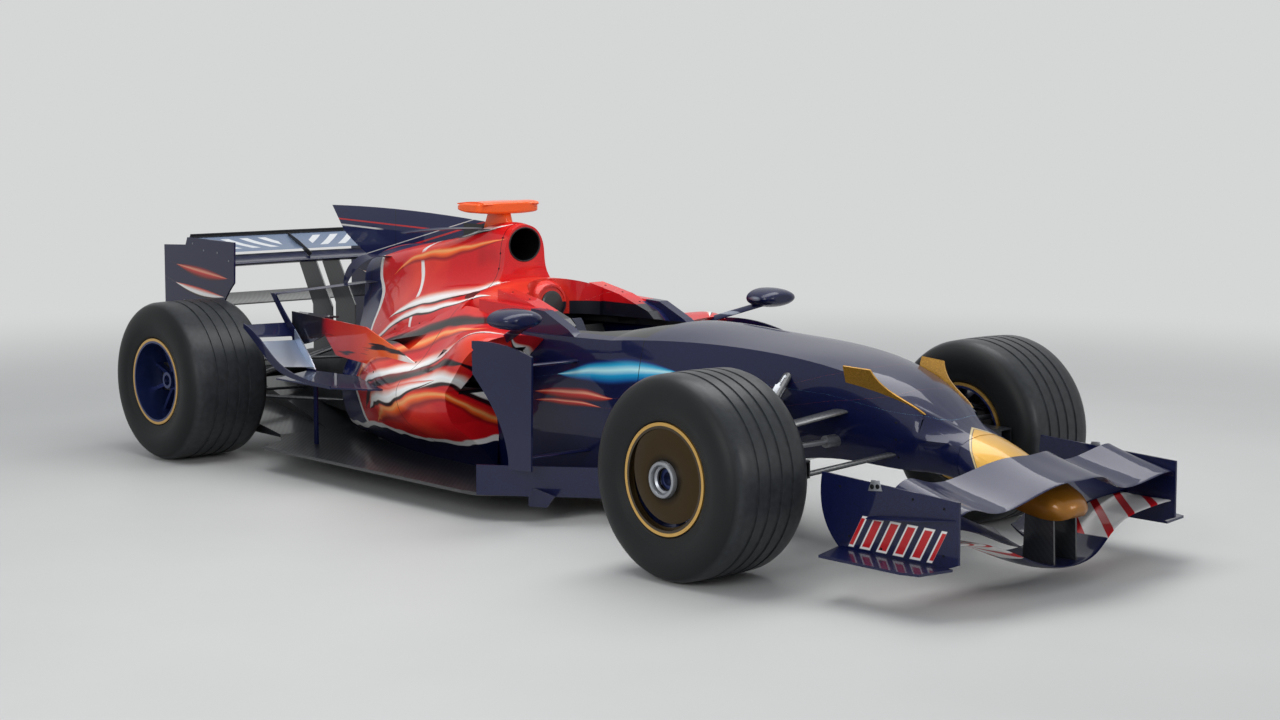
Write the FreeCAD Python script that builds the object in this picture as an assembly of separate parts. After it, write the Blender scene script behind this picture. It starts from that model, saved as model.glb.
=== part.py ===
"""Open wheel racing car with grooved tyres, modelled as an assembly of named pieces.

All lengths are in millimetres. +X points forward, +Y to the car's left and +Z up. The ground is z = 0, and
the origin lies on the ground in the middle of the car's length and width. Pieces of the front are placed from
the front axle or the nose's tip, and pieces of the rear from the rear axle or the tail, so each end follows
its own axle.
"""

import math
import os

import FreeCAD
import Part

Vec = FreeCAD.Vector

# Overall sizes
wheelbase = 3095.0
front_overhang = 940.0
rear_overhang = 545.0
front_track = 1440.0
rear_track = 1410.0
floor_half_width = 700.0

# Tyres and rims
tyre_radius = 330.0
front_tyre_width = 355.0
rear_tyre_width = 380.0
tyre_wall = 14.0
bead_radius = 166.0
bead_gap = 0.3
flange_radius = 179.0
flange_width = 9.0
barrel_wall = 6.0
front_rim_width = 322.0
rear_rim_width = 346.0
spoke_count = 10
spoke_width = 15.0
spoke_depth = 26.0
hub_radius = 46.0
front_face_recess = 62.0
rear_face_recess = 96.0
nut_radius = 34.0
nut_wall = 12.0
nut_length = 40.0
cover_thickness = 4.0
cover_recess = 14.0
cover_gap = 0.5
crescent_shift = 26.0
crescent_rise = 34.0

# Hubs, brakes and uprights
axle_radius = 26.0
bearing_clearance = 0.05
disc_radius = 139.0
disc_thickness = 28.0
bell_radius = 66.0
bell_wall = 8.0
disc_gap = 30.0
caliper_gap = 6.0
caliper_wall = 20.0
caliper_half_height = 58.0
upright_radius = 64.0
upright_width = 60.0
upright_half_length = 24.0
axle_end_length = 4.0
duct_wall = 5.0
duct_tyre_gap = 4.5
duct_width = 60.0
duct_rear = 62.0
duct_front = 245.0
duct_low = 320.0
duct_high = 377.0
neck_length = 68.0
neck_height = 30.0

# Suspension
ball_joint_rise = 82.0
ball_gap = 1.0
ball_boss_radius = 15.0
ball_boss_height = 26.0
pin_radius = 8.0
pin_depth = 20.0
arm_chord = 34.0
arm_thickness = 15.0
upper_arm_chord = 66.0
upper_aft_leg_chord = 48.0
upper_arm_thickness = 17.0
pushrod_chord = 40.0
pushrod_thickness = 20.0

# Steering
kingpin_offset = 32.0
steer_arm = 88.0
steer_arm_rise = 62.0
steer_arm_width = 26.0
steer_arm_depth = 14.0
track_rod_radius = 9.0
rack_radius = 20.0
rack_half_length = 240.0
eye_radius = 17.0
eye_height = 22.0
eye_clearance = 4.0
wheel_rim_width = 262.0
wheel_rim_height = 160.0
wheel_rim_depth = 28.0
steering_wheel_station = -920.0
steering_wheel_z = 575.0
column_tilt = 12.0
column_radius = 13.0
column_length = 330.0
dash_station = -740.0
dash_thickness = 16.0
dash_bottom = 430.0

# Body
hull_wall = 20.0
nose_length = 530.0
tub_rear_station = -1850.0
cockpit_front_station = -770.0
cockpit_rear_station = -1600.0
coaming_inner = 268.0
coaming_outer = 312.0
head_room = 196.0
seat_gap = 0.3
seat_half_width = 210.0
plank_bottom = 32.0
plank_thickness = 10.0
plank_half_width = 150.0
step_height = 50.0
step_half_width = 250.0
floor_thickness = 12.0
tray_station = -440.0
floor_front_station = -1010.0
engine_half_width = 230.0
engine_height = 366.0
fin_thickness = 8.0
light_depth = 26.0

# Distances ahead of the rear axle
floor_rear_station = 325.0
plank_rear_station = 125.0
gearbox_front_station = 675.0
gearbox_rear_station = -135.0
crash_rear_station = -465.0
diffuser_rear_station = -345.0

# Mounts
starter_bore_radius = 14.0
starter_bore_depth = 60.0
starter_bore_z = 268.0

# Camera and mirrors
camera_half_width = 140.0
camera_chord = 170.0
camera_thickness = 40.0
camera_z = 1088.0
mirror_y = 643.0
mirror_z = 735.0
stalk_thickness = 10.0

# Wings and thin plates
wing_half_span = 545.0
pylon_y = 56.0
rear_wing_half_span = 496.0
rear_pylon_y = 60.0
thin_plate = 6.0
plate_thickness = 8.0
trailing_edge = 3.0
footplate_z = 134.0
footplate_reach = 145.0
shelf_z = 386.0
pod_fin_y = 497.0
flip_up_inner = 450.0
board_y = 640.0
deflector_low = 96.0
deflector_high = 205.0
tunnel_roof = 10.0

front_axle_x = (front_overhang + wheelbase + rear_overhang) / 2 - front_overhang
rear_axle_x = front_axle_x - wheelbase
reference_plane = plank_bottom + plank_thickness
step_plane = reference_plane + step_height
floor_top = step_plane + floor_thickness
bulkhead_station = front_overhang - nose_length
kingpin_y = front_track / 2 - kingpin_offset
duct_outer = front_track / 2 - front_tyre_width / 2 - duct_tyre_gap
duct_inner = duct_outer - duct_width
rack_z = tyre_radius + steer_arm_rise
past_hull = coaming_outer + 88  # half width that a cut right across the hull passes


def front_at(station):
    """Frame x of a distance ahead of the front axle."""
    return front_axle_x + station


def rear_at(station):
    """Frame x of a distance ahead of the rear axle."""
    return rear_axle_x + station


def tip_at(distance):
    """Frame x of a distance behind the nose's tip."""
    return front_axle_x + front_overhang - distance


def tail_at(distance):
    """Frame x of a distance ahead of the car's rear end."""
    return rear_axle_x - rear_overhang + distance


def curve(points):
    """A smooth edge through the points."""
    spline = Part.BSplineCurve()
    spline.interpolate([Vec(*p) for p in points])
    return spline.toShape()


def straight(points):
    """Straight edges through the points."""
    return [Part.LineSegment(Vec(*a), Vec(*b)).toShape() for a, b in zip(points, points[1:])]


def chain(edges):
    """A wire of edges, each a list of points: two for a straight edge, more for a smooth one."""
    shapes = []
    for edge in edges:
        shapes += [curve(edge)] if len(edge) > 2 else straight(edge)
    return Part.Wire(shapes)


def polygon(points):
    """A closed wire of straight edges."""
    return Part.Wire(straight(list(points) + [points[0]]))


def loft(wires, ruled=False):
    """A solid through closed wires."""
    solid = Part.makeLoft(wires, True, ruled)
    if solid.Volume < 0:
        solid.reverse()
    return solid


def mirror(shape):
    """The same shape on the other side of the car."""
    return shape.mirror(Vec(0, 0, 0), Vec(0, 1, 0))


def pair(shape):
    """A right-hand piece and its left-hand twin."""
    return Part.Compound([shape, mirror(shape)])


def fuse(shapes):
    """One solid of shapes that overlap."""
    return shapes[0].multiFuse(shapes[1:]).removeSplitter()


def box(low, high):
    """A block between two corners."""
    size = [b - a for a, b in zip(low, high)]
    return Part.makeBox(*size, Vec(*low))


def plate_xz(outline, y0, y1):
    """A flat plate along the car, with its outline in x and z."""
    return Part.Face(polygon([(x, y0, z) for x, z in outline])).extrude(Vec(0, y1 - y0, 0))


def plate_xy(outline, z0, z1):
    """A level plate, with its outline in x and y."""
    return Part.Face(polygon([(x, y, z0) for x, y in outline])).extrude(Vec(0, 0, z1 - z0))


def curved_plate(edges, y0, y1):
    """A flat plate along the car whose outline in x and z is a chain of edges."""
    wire = chain([[(x, y0, z) for x, z in edge] for edge in edges])
    return Part.Face(wire).extrude(Vec(0, y1 - y0, 0))


def wall(path, z0, z1, thickness):
    """An upright plate that follows a smooth path of x and y."""
    back = [(x - thickness, y + thickness) for x, y in path]
    outline = chain([[(x, y, z0) for x, y in path], [(*path[-1], z0), (*back[-1], z0)],
                     [(x, y, z0) for x, y in back[::-1]], [(*back[0], z0), (*path[0], z0)]])
    return Part.Face(outline).extrude(Vec(0, 0, z1 - z0))


def cylinder_y(x, z, y0, y1, radius):
    """A round bar across the car, between y0 and y1 in either order."""
    low, high = sorted((y0, y1))
    return Part.makeCylinder(radius, high - low, Vec(x, low, z), Vec(0, 1, 0))


def oval(x, y, z, half_width, half_height):
    """An upright oval wire across the car."""
    if half_width < half_height:
        ellipse = Part.Ellipse(Vec(x, y, z + half_height), Vec(x, y + half_width, z), Vec(x, y, z))
    else:
        ellipse = Part.Ellipse(Vec(x, y + half_width, z), Vec(x, y, z + half_height), Vec(x, y, z))
    return Part.Wire(ellipse.toShape())


def blade(start, end, chord, thickness):
    """A straight strut with a flattened oval section, its long side along the car."""
    a, b = Vec(*start), Vec(*end)
    along = (b - a).normalize()
    wide = Vec(1, 0, 0) - along * along.x
    wide.normalize()
    up = along.cross(wide)
    ellipse = Part.Ellipse(a + wide * (chord / 2), a + up * (thickness / 2), a)
    return Part.Face(Part.Wire(ellipse.toShape())).extrude(b - a)


def revolve_y(profile, x, y, z):
    """A ring about the line through x and z along y, from a chain of edges of (radius, y) points."""
    wire = chain([[(x, y + across, z + radius) for radius, across in edge] for edge in profile])
    return Part.Face(wire).revolve(Vec(x, 0, z), Vec(0, 1, 0), 360)


def wing_section(x, y, z, chord, thickness, camber, incline):
    """A closed aerofoil in the plane y, back from its leading edge. An incline lifts the rear edge."""
    turn = math.radians(incline)
    upper, lower = [], []
    for share in (0.0, 0.015, 0.07, 0.2, 0.42, 0.7, 1.0):
        half = 2.6 * thickness * (0.2969 * share**0.5 - 0.126 * share - 0.3516 * share**2
                                  + 0.2843 * share**3 - 0.1015 * share**4) + trailing_edge / 2 * share
        line = -4 * camber * share * (1 - share)
        for side, height in ((upper, line + half), (lower, line - half)):
            along = share * chord
            side.append((x - along * math.cos(turn) + height * math.sin(turn), y,
                         z + along * math.sin(turn) + height * math.cos(turn)))
    return chain([upper, [upper[-1], lower[-1]], lower[::-1]])


def half_wing(span, thickness, camber, incline):
    """A wing on the right side. A place on its span is half width, x and z of the leading edge, and chord."""
    return loft([wing_section(x, -y, z, chord, thickness, camber, incline) for y, x, z, chord in span])


def wing(span, thickness, camber, incline):
    """A wing across the whole car, with the span listed from the middle out."""
    left = [wing_section(x, y, z, chord, thickness, camber, incline)
            for y, x, z, chord in reversed(span) if y > 0]
    right = [wing_section(x, -y, z, chord, thickness, camber, incline) for y, x, z, chord in span]
    return loft(left + right)


def hull_section(x, crown, crease, bulge, bottom):
    """A body cross-section: the crown's height and (half width, height) of crease, side and bottom."""
    (cy, cz), (sy, sz), (by, bz) = crease, bulge, bottom
    shoulder_y, shoulder_z = cy * 0.55, cz + (crown - cz) * 0.75
    top = [(x, -cy, cz), (x, -shoulder_y, shoulder_z), (x, 0, crown), (x, shoulder_y, shoulder_z),
           (x, cy, cz)]
    left = [(x, cy, cz), (x, sy, sz), (x, by, bz)]
    right = [(x, -by, bz), (x, -sy, sz), (x, -cy, cz)]
    return chain([top, left, [(x, by, bz), (x, -by, bz)], right])


def arch_section(x, rib):
    """A symmetric cross-section on a level base. The rib lists (half width, height) up to the crown."""
    right = [(x, -y, z) for y, z in rib]
    left = [(x, y, z) for y, z in reversed(rib)]
    over = right + (left[1:] if rib[-1][0] == 0 else left)
    return chain([over, [over[-1], over[0]]])


def side_section(x, rib):
    """A cross-section on the right side: a smooth rib of (half width, height), closed by a straight line."""
    points = [(x, -y, z) for y, z in rib]
    return chain([points, [points[-1], points[0]]])


# Monocoque. Each place is x, the crown's height, and (half width, height) of crease, side and bottom.
bulkhead_place = (509, (136, 490), (150, 400), (118, 326))
fore_places = [
    (front_at(bulkhead_station), *bulkhead_place),
    (front_at(190), 622, (164, 600), (188, 470), (148, 324)),
    (front_at(0), 655, (192, 640), (214, 485), (172, 320)),
    (front_at(-300), 678, (222, 664), (256, 470), (200, 250)),
    (front_at(-620), 703, (262, 664), (304, 430), (246, 165)),
    (front_at(-900), 690, (300, 646), (334, 390), (280, floor_top)),
]
aft_places = [
    fore_places[-1],
    (front_at(-1250), 676, (322, 640), (344, 370), (300, floor_top)),
    (front_at(tub_rear_station), 660, (322, 632), (344, 370), (300, floor_top)),
]
cockpit_half_widths = [(0, 105), (-70, 165), (-250, 236), (-420, 250), (-700, 250), (-830, 190)]
coaming_outline = [(-1060, 630), (-1120, 668), (-1255, 726), (-1640, 742), (-1640, 630)]


def inner_place(place, x):
    """A place on the inside of the hull's wall."""
    _, crown, (cy, cz), (sy, sz), (by, bz) = place
    return (x, crown - hull_wall, (cy - hull_wall, cz - hull_wall), (sy - hull_wall, sz),
            (by - hull_wall, bz + hull_wall))


def make_tub_outside():
    """The monocoque as a full block: a smooth fore part, a straight aft part and the cockpit's sides."""
    fore = loft([hull_section(*place) for place in fore_places])
    aft = loft([hull_section(*place) for place in aft_places], True)
    outline = [(front_at(s), z) for s, z in coaming_outline]
    side = plate_xz(outline, -coaming_outer, -coaming_inner)
    return fuse([fore, aft, side, mirror(side)])


def make_monocoque(outside):
    """The hollow monocoque with its cockpit opening, its dash and the rack's bores."""
    front_end = front_at(bulkhead_station - hull_wall)
    rear_end = front_at(cockpit_rear_station - hull_wall)
    fore_ends = [front_end] + [place[0] for place in fore_places[1:]]
    aft_ends = [place[0] for place in aft_places[:-1]] + [rear_end]
    fore = loft([hull_section(*inner_place(p, x)) for p, x in zip(fore_places, fore_ends)])
    aft = loft([hull_section(*inner_place(p, x)) for p, x in zip(aft_places, aft_ends)], True)
    cavity = fuse([fore, aft])
    rim = [(front_at(cockpit_front_station + s), y) for s, y in cockpit_half_widths]
    hole = plate_xy([(x, -y) for x, y in rim] + [(x, y) for x, y in reversed(rim)], dash_bottom, 780)
    dash_x = front_at(dash_station)
    dash = box((dash_x, -past_hull, dash_bottom), (dash_x + dash_thickness, past_hull, 800))
    column_bore = Part.makeCylinder(column_radius + bearing_clearance, column_length, Vec(), Vec(1, 0, 0))
    bore_radius = rack_radius + bearing_clearance
    rack_bore = cylinder_y(front_at(steer_arm), rack_z, -past_hull, past_hull, bore_radius)
    shell = outside.cut(cavity).cut(hole)
    return shell.fuse(dash.common(cavity)).cut(place_column(column_bore)).cut(rack_bore)


def place_column(shape):
    """Turn and move a shape made along +X from the steering wheel's hub to its real place."""
    shape.rotate(Vec(0, 0, 0), Vec(0, 1, 0), column_tilt)
    shape.translate(Vec(front_at(steering_wheel_station), 0, steering_wheel_z))
    return shape


# Nose
nose_places = [
    (tip_at(nose_length), *bulkhead_place),
    (tip_at(400), 446, (112, 424), (124, 362), (100, 306)),
    (tip_at(180), 360, (88, 338), (100, 290), (80, 240)),
    (tip_at(70), 316, (70, 298), (82, 262), (62, 222)),
    (tip_at(22), 288, (44, 276), (56, 254), (40, 232)),
    (tip_at(8), 266, (16, 263), (20, 256), (14, 250)),
]
nose_fin_root = (tip_at(740), 166, 560)
nose_fin_lean = 18.0
nose_fin_yaw = 7.0


def make_nose():
    return loft([hull_section(*place) for place in nose_places])


def make_nose_fins(nose, tub):
    """The two upright fins on the nose, leaning out from their roots on the shoulders."""
    x, y, z = nose_fin_root
    front = [(x + 28, z + 81), (x + 62, z + 34), (x + 130, z - 10), (x + 214, z - 58)]
    fin = curved_plate([
        [(x - 78, z), (x - 78, z + 86)],
        [(x - 78, z + 86), front[0]],
        front,
        [front[-1], (x - 78, z)],
    ], -y, -y + thin_plate)
    fin.rotate(Vec(x, -y, z), Vec(1, 0, 0), nose_fin_lean)
    fin.rotate(Vec(x, -y, z), Vec(0, 0, 1), nose_fin_yaw)
    return pair(fin.cut(nose).cut(tub))


# Front wing. Each place on a span is half width, x and z of the leading edge, and chord.
front_main_span = [(0, tip_at(28), 80, 240), (110, tip_at(35), 92, 245), (240, tip_at(62), 142, 262),
                   (wing_half_span - 185, tip_at(72), 184, 275), (wing_half_span - 85, tip_at(56), 204, 285),
                   (wing_half_span, tip_at(48), 212, 290)]
front_flap_span = [(44, tip_at(198), 118, 118), (150, tip_at(202), 150, 128), (280, tip_at(216), 196, 150),
                   (wing_half_span - 145, tip_at(228), 214, 165), (wing_half_span, tip_at(224), 224, 175)]
front_upper_span = [(0, tip_at(0), 351, 210), (100, tip_at(6), 348, 220), (230, tip_at(44), 302, 240),
                    (wing_half_span - 165, tip_at(52), 288, 250), (wing_half_span, tip_at(42), 293, 250)]


def make_front_endplates():
    """The front wing's end plates with the footplates outside them."""
    y = -wing_half_span
    rear_edge = [(tip_at(500), 140), (tip_at(552), 200), (tip_at(575), 366)]
    plate = curved_plate([
        [(tip_at(35), 344), (tip_at(33), 158)],
        [(tip_at(33), 158), (tip_at(80), 140)],
        [(tip_at(80), 140), rear_edge[0]],
        rear_edge,
        [rear_edge[-1], (tip_at(35), 344)],
    ], y - plate_thickness, y)
    edge_y = y - footplate_reach
    foot = plate_xy([(tip_at(60), y), (tip_at(82), edge_y + 18), (tip_at(140), edge_y), (tip_at(460), edge_y),
                     (tip_at(510), y)], footplate_z, footplate_z + plate_thickness)
    return pair(fuse([plate, foot]))


def make_nose_pylons(nose, main_plane):
    """The two struts that carry the front wing's main plane under the nose."""
    outline = [(tip_at(68), 270), (tip_at(172), 270), (tip_at(180), 84), (tip_at(60), 84)]
    plate = plate_xz(outline, -pylon_y - plate_thickness / 2, -pylon_y + plate_thickness / 2)
    return pair(plate.cut(nose).cut(main_plane))


# Wheels
def tyre_profile(width, rim_width):
    """The cut through a hollow tyre as (radius, y), with its beads just inside the rim's flanges."""
    half = width / 2
    bead = rim_width / 2 - flange_width - bead_gap
    crown = half * 0.74
    inner = half - tyre_wall
    foot = bead_radius + bead_gap
    rim_top = flange_radius + bead_gap
    side = [(rim_top, bead), (rim_top + 12, bead + 12), (240, half * 0.99), (290, half * 0.97),
            (tyre_radius - 3, crown)]
    lining = [(foot, bead - tyre_wall), (240, inner - 4), (290, inner - 8),
              (tyre_radius - tyre_wall, crown - 16)]
    right = [(r, -y) for r, y in side]
    right_lining = [(r, -y) for r, y in lining]
    return [right, [right[-1], (tyre_radius, 0), side[-1]], side[::-1], [side[0], (foot, bead)],
            [(foot, bead), lining[0]], lining, [lining[-1], right_lining[-1]], right_lining[::-1],
            [right_lining[0], (foot, -bead)], [(foot, -bead), right[0]]]


def make_rim(x, y, width, side, recess):
    """A one-piece rim with its hub, spokes and nut. side is -1 on the right and 1 on the left."""
    half = width / 2
    well = bead_radius - barrel_wall
    step = half - flange_width
    corners = [(bead_radius, -step), (flange_radius, -step), (flange_radius, -half), (well, -half),
               (well, half), (flange_radius, half), (flange_radius, step), (bead_radius, step),
               (bead_radius, -step)]
    barrel = revolve_y([list(edge) for edge in zip(corners, corners[1:])], x, y, tyre_radius)
    face = y + side * (half - recess)
    back = face - side * spoke_depth
    hub = cylinder_y(x, tyre_radius, face, back, hub_radius)
    spokes = []
    for i in range(spoke_count):
        spoke = box((x - spoke_width / 2, min(face, back), tyre_radius + hub_radius - spoke_width / 2),
                    (x + spoke_width / 2, max(face, back), tyre_radius + well + barrel_wall / 2))
        spokes.append(spoke.rotate(Vec(x, 0, tyre_radius), Vec(0, 1, 0), 360 / spoke_count * i))
    nut = cylinder_y(x, tyre_radius, face, face + side * nut_length, nut_radius)
    bore = cylinder_y(x, tyre_radius, face, face + side * nut_length, nut_radius - nut_wall)
    return fuse([barrel, hub, nut.cut(bore), *spokes])


def spoke_back_y(track, rim_width, recess):
    """How far from the car's middle the inner face of a wheel's spokes is."""
    return track / 2 + rim_width / 2 - recess - spoke_depth


def make_hub(x, spoke_back, inner_y):
    """The right-hand stub axle that turns with the wheel, with the disc's bell and the brake disc."""
    back = -spoke_back
    outer = back + disc_gap
    inner = outer + disc_thickness
    disc = cylinder_y(x, tyre_radius, outer, inner, disc_radius)
    disc = disc.cut(cylinder_y(x, tyre_radius, outer, inner, bell_radius - bell_wall))
    bell = cylinder_y(x, tyre_radius, back, inner, bell_radius)
    bell = bell.cut(cylinder_y(x, tyre_radius, back + bell_wall, inner, bell_radius - bell_wall))
    axle = cylinder_y(x, tyre_radius, back, -inner_y, axle_radius)
    return fuse([disc, bell, axle])


def make_cover(x, y):
    """The disc that closes a front wheel, with a round hole for the nut and a crescent window below it."""
    outer = y - front_rim_width / 2 + cover_recess
    inner = outer + cover_thickness
    reach = bead_radius - barrel_wall - cover_gap
    disc = cylinder_y(x, tyre_radius, outer, inner, reach)
    hole = cylinder_y(x, tyre_radius, outer, inner, nut_radius + cover_gap)
    crescent = cylinder_y(x, tyre_radius, outer, inner, reach - 8)
    keep = cylinder_y(x + crescent_shift, tyre_radius + crescent_rise, outer, inner, reach - 12)
    crescent = crescent.cut(keep)
    return disc.cut(hole).cut(crescent)


front_spoke_back = spoke_back_y(front_track, front_rim_width, front_face_recess)
rear_spoke_back = spoke_back_y(rear_track, rear_rim_width, rear_face_recess)
front_upright_outer = front_spoke_back - disc_gap - disc_thickness - caliper_gap
rear_upright_outer = rear_spoke_back - disc_gap - disc_thickness - caliper_gap


# Uprights and steering
def make_caliper(x, upright_outer):
    """The right-hand brake caliper round the rear of its disc, with the lug that holds it to the upright."""
    inner = -upright_outer
    outer = inner - disc_thickness - caliper_gap * 2
    reach = bead_radius - barrel_wall - caliper_gap
    edge = x - bell_radius - caliper_gap
    body = box((x - reach, outer - caliper_wall, tyre_radius - caliper_half_height),
               (edge, inner + caliper_wall, tyre_radius + caliper_half_height))
    body = body.cut(cylinder_y(x, tyre_radius, inner, outer, disc_radius + caliper_gap))
    body = body.common(cylinder_y(x, tyre_radius, inner + caliper_wall, outer - caliper_wall, reach))
    lug = box((edge - caliper_wall / 4, inner, tyre_radius - upright_radius / 2),
              (x - upright_radius / 2, inner + caliper_wall, tyre_radius + upright_radius / 2))
    return fuse([body, lug])


def make_front_upright():
    """The right-hand front upright, with its caliper, steering arm and the pin for the track rod's eye."""
    x = front_at(0)
    outer = -front_upright_outer
    inner = outer + upright_width
    middle = -kingpin_y
    half_post = ball_joint_rise - ball_boss_height / 2 - ball_gap
    housing = cylinder_y(x, tyre_radius, outer, inner, upright_radius)
    post = box((x - upright_half_length, outer, tyre_radius - half_post),
               (x + upright_half_length, inner, tyre_radius + half_post))
    arm_top = rack_z - eye_height / 2 - ball_gap
    arm = box((x, middle - steer_arm_width / 2, arm_top - steer_arm_depth),
              (x + steer_arm + steer_arm_depth, middle + steer_arm_width / 2, arm_top))
    pin_foot = arm_top - steer_arm_depth / 2
    pin_length = rack_z + eye_height / 2 + ball_gap - pin_foot
    pin = Part.makeCylinder(pin_radius, pin_length, Vec(x + steer_arm, middle, pin_foot))
    body = fuse([housing, post, arm, pin, make_caliper(x, front_upright_outer)])
    body = body.cut(cylinder_y(x, tyre_radius, outer, inner, axle_radius + bearing_clearance))
    for sign in (-1, 1):
        start = tyre_radius + sign * half_post
        foot = min(start, start - sign * (pin_depth + ball_gap))
        hole = Part.makeCylinder(pin_radius + bearing_clearance, pin_depth + ball_gap, Vec(x, middle, foot))
        body = body.cut(hole)
    return body


def make_brake_duct(upright):
    """The right-hand cooling scoop inside the front wheel, on a neck from the upright below the track rod."""
    x = front_at(0)
    neck_y = -front_upright_outer + upright_width / 2
    scoop = box((x + duct_rear, -duct_outer, duct_low), (x + duct_front, -duct_inner, duct_high))
    mouth = box((x + duct_rear + duct_wall, -duct_outer + duct_wall, duct_low + duct_wall),
                (x + duct_front, -duct_inner - duct_wall, duct_high - duct_wall))
    neck = box((x + upright_radius / 2, neck_y, duct_low),
               (x + upright_radius / 2 + neck_length, -duct_outer + duct_wall, duct_low + neck_height))
    return fuse([scoop.cut(mouth), neck]).cut(upright)


def make_ball_joint(x, y, z, sign):
    """A wishbone's outer end: a boss with a pin into the upright. sign is 1 above the axle and -1 below."""
    boss = Part.makeCylinder(ball_boss_radius, ball_boss_height, Vec(x, y, z - ball_boss_height / 2))
    length = ball_boss_height / 2 + ball_gap + pin_depth
    pin = Part.makeCylinder(pin_radius, length, Vec(x, y, z - length if sign > 0 else z))
    return boss.fuse(pin)


# Wishbone roots as distance ahead of the wheel's axle, half width and height
front_upper_roots = [(116, 180, 494), (-138, 214, 506)]
front_lower_roots = [(310, 136, 372), (-150, 190, 345)]
rear_upper_roots = [(260, 118, 400), (-90, 92, 372)]
rear_lower_roots = [(330, 112, 215), (-60, 92, 235)]
front_pushrod_root = (-110, 205, 598)
rear_pushrod_root = (170, 100, 430)


def make_front_suspension(tub):
    """The wishbones and pushrods of both front wheels."""
    x = front_at(0)
    y = -kingpin_y
    arms = []
    for sign, roots, chords, thickness in (
        (1, front_upper_roots, (upper_arm_chord, upper_aft_leg_chord), upper_arm_thickness),
        (-1, front_lower_roots, (arm_chord, arm_chord), arm_thickness),
    ):
        z = tyre_radius + sign * ball_joint_rise
        legs = [blade((x, y, z), (x + s, -root_y, root_z), chord, thickness)
                for (s, root_y, root_z), chord in zip(roots, chords)]
        arms.append(fuse([make_ball_joint(x, y, z, sign), *legs]).cut(tub))
    s, root_y, root_z = front_pushrod_root
    foot = (x - 14, y + 80, tyre_radius - ball_joint_rise + 18)
    pushrod = blade(foot, (x + s, -root_y, root_z), pushrod_chord, pushrod_thickness)
    arms[1] = arms[1].fuse(pushrod).cut(arms[0]).cut(tub)
    return Part.Compound([*arms, *[mirror(a) for a in arms]])


def make_steering_rack():
    """The rack in its bores through the hull, with a track rod to each upright."""
    x = front_at(steer_arm)
    pieces = [cylinder_y(x, rack_z, -rack_half_length, rack_half_length, rack_radius)]
    rod_end = kingpin_y - pin_radius - eye_clearance - ball_gap
    for side in (-1, 1):
        pieces.append(cylinder_y(x, rack_z, side * rack_half_length, side * rod_end, track_rod_radius))
        foot = Vec(x, side * kingpin_y, rack_z - eye_height / 2)
        pieces.append(Part.makeCylinder(eye_radius, eye_height, foot))
    body = fuse(pieces)
    for side in (-1, 1):
        foot = Vec(x, side * kingpin_y, rack_z - eye_height / 2)
        body = body.cut(Part.makeCylinder(pin_radius + eye_clearance, eye_height, foot))
    return body


def make_rear_upright():
    """The right-hand rear upright with its caliper."""
    x = rear_at(0)
    outer = -rear_upright_outer
    inner = outer + upright_width
    housing = cylinder_y(x, tyre_radius, outer, inner, upright_radius)
    post = box((x - upright_half_length, outer, tyre_radius - ball_joint_rise),
               (x + upright_half_length, inner, tyre_radius + ball_joint_rise))
    body = fuse([housing, post, make_caliper(x, rear_upright_outer)])
    return body.cut(cylinder_y(x, tyre_radius, outer, inner, axle_radius + bearing_clearance))


def make_rear_suspension(upright, gearbox):
    """The wishbones and pushrods of both rear wheels."""
    x = rear_at(0)
    y = -rear_upright_outer + upright_width / 2
    rise = ball_joint_rise - arm_thickness
    arms = []
    for sign, roots in ((1, rear_upper_roots), (-1, rear_lower_roots)):
        z = tyre_radius + sign * rise
        legs = [blade((x, y, z), (x + s, -root_y, root_z), arm_chord, arm_thickness)
                for s, root_y, root_z in roots]
        arms.append(fuse(legs).cut(upright).cut(gearbox))
    s, root_y, root_z = rear_pushrod_root
    foot = (x + 24, y + 40, tyre_radius - rise)
    pushrod = blade(foot, (x + s, -root_y, root_z), pushrod_chord, pushrod_thickness)
    arms[1] = arms[1].fuse(pushrod).cut(arms[0]).cut(upright).cut(gearbox)
    return Part.Compound([*arms, *[mirror(a) for a in arms]])


# Engine cover. Each rib lists (half width, height) from its base up to the crown.
cover_front_x = front_at(-1745)
cover_rear_x = rear_at(455)
cover_ribs = [
    (cover_front_x, [(330, 640), (318, 696), (250, 739), (150, 776),
                     (106, 850), (96, 930), (60, 990), (0, 1009)]),
    (front_at(-1932), [(330, 560), (312, 660), (244, 722), (160, 776),
                       (122, 835), (110, 910), (64, 982), (0, 1000)]),
    (rear_at(941), [(310, 520), (280, 640), (222, 716), (176, 780),
                    (156, 835), (146, 887), (84, 928), (0, 938)]),
    (rear_at(700), [(270, 500), (236, 590), (190, 672), (160, 740),
                    (151, 800), (142, 852), (84, 895), (0, 905)]),
    (cover_rear_x, [(200, 470), (168, 540), (146, 606), (137, 668),
                    (133, 730), (124, 786), (76, 840), (0, 855)]),
]
exit_ribs = [
    (cover_rear_x, [(110, 480), (122, 560), (126, 640), (124, 720), (112, 784), (66, 832), (0, 845)]),
    (rear_at(700), [(60, 520), (72, 580), (76, 640), (74, 700), (66, 750), (40, 790), (0, 800)]),
]
inlet_x = front_at(-1980)


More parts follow.
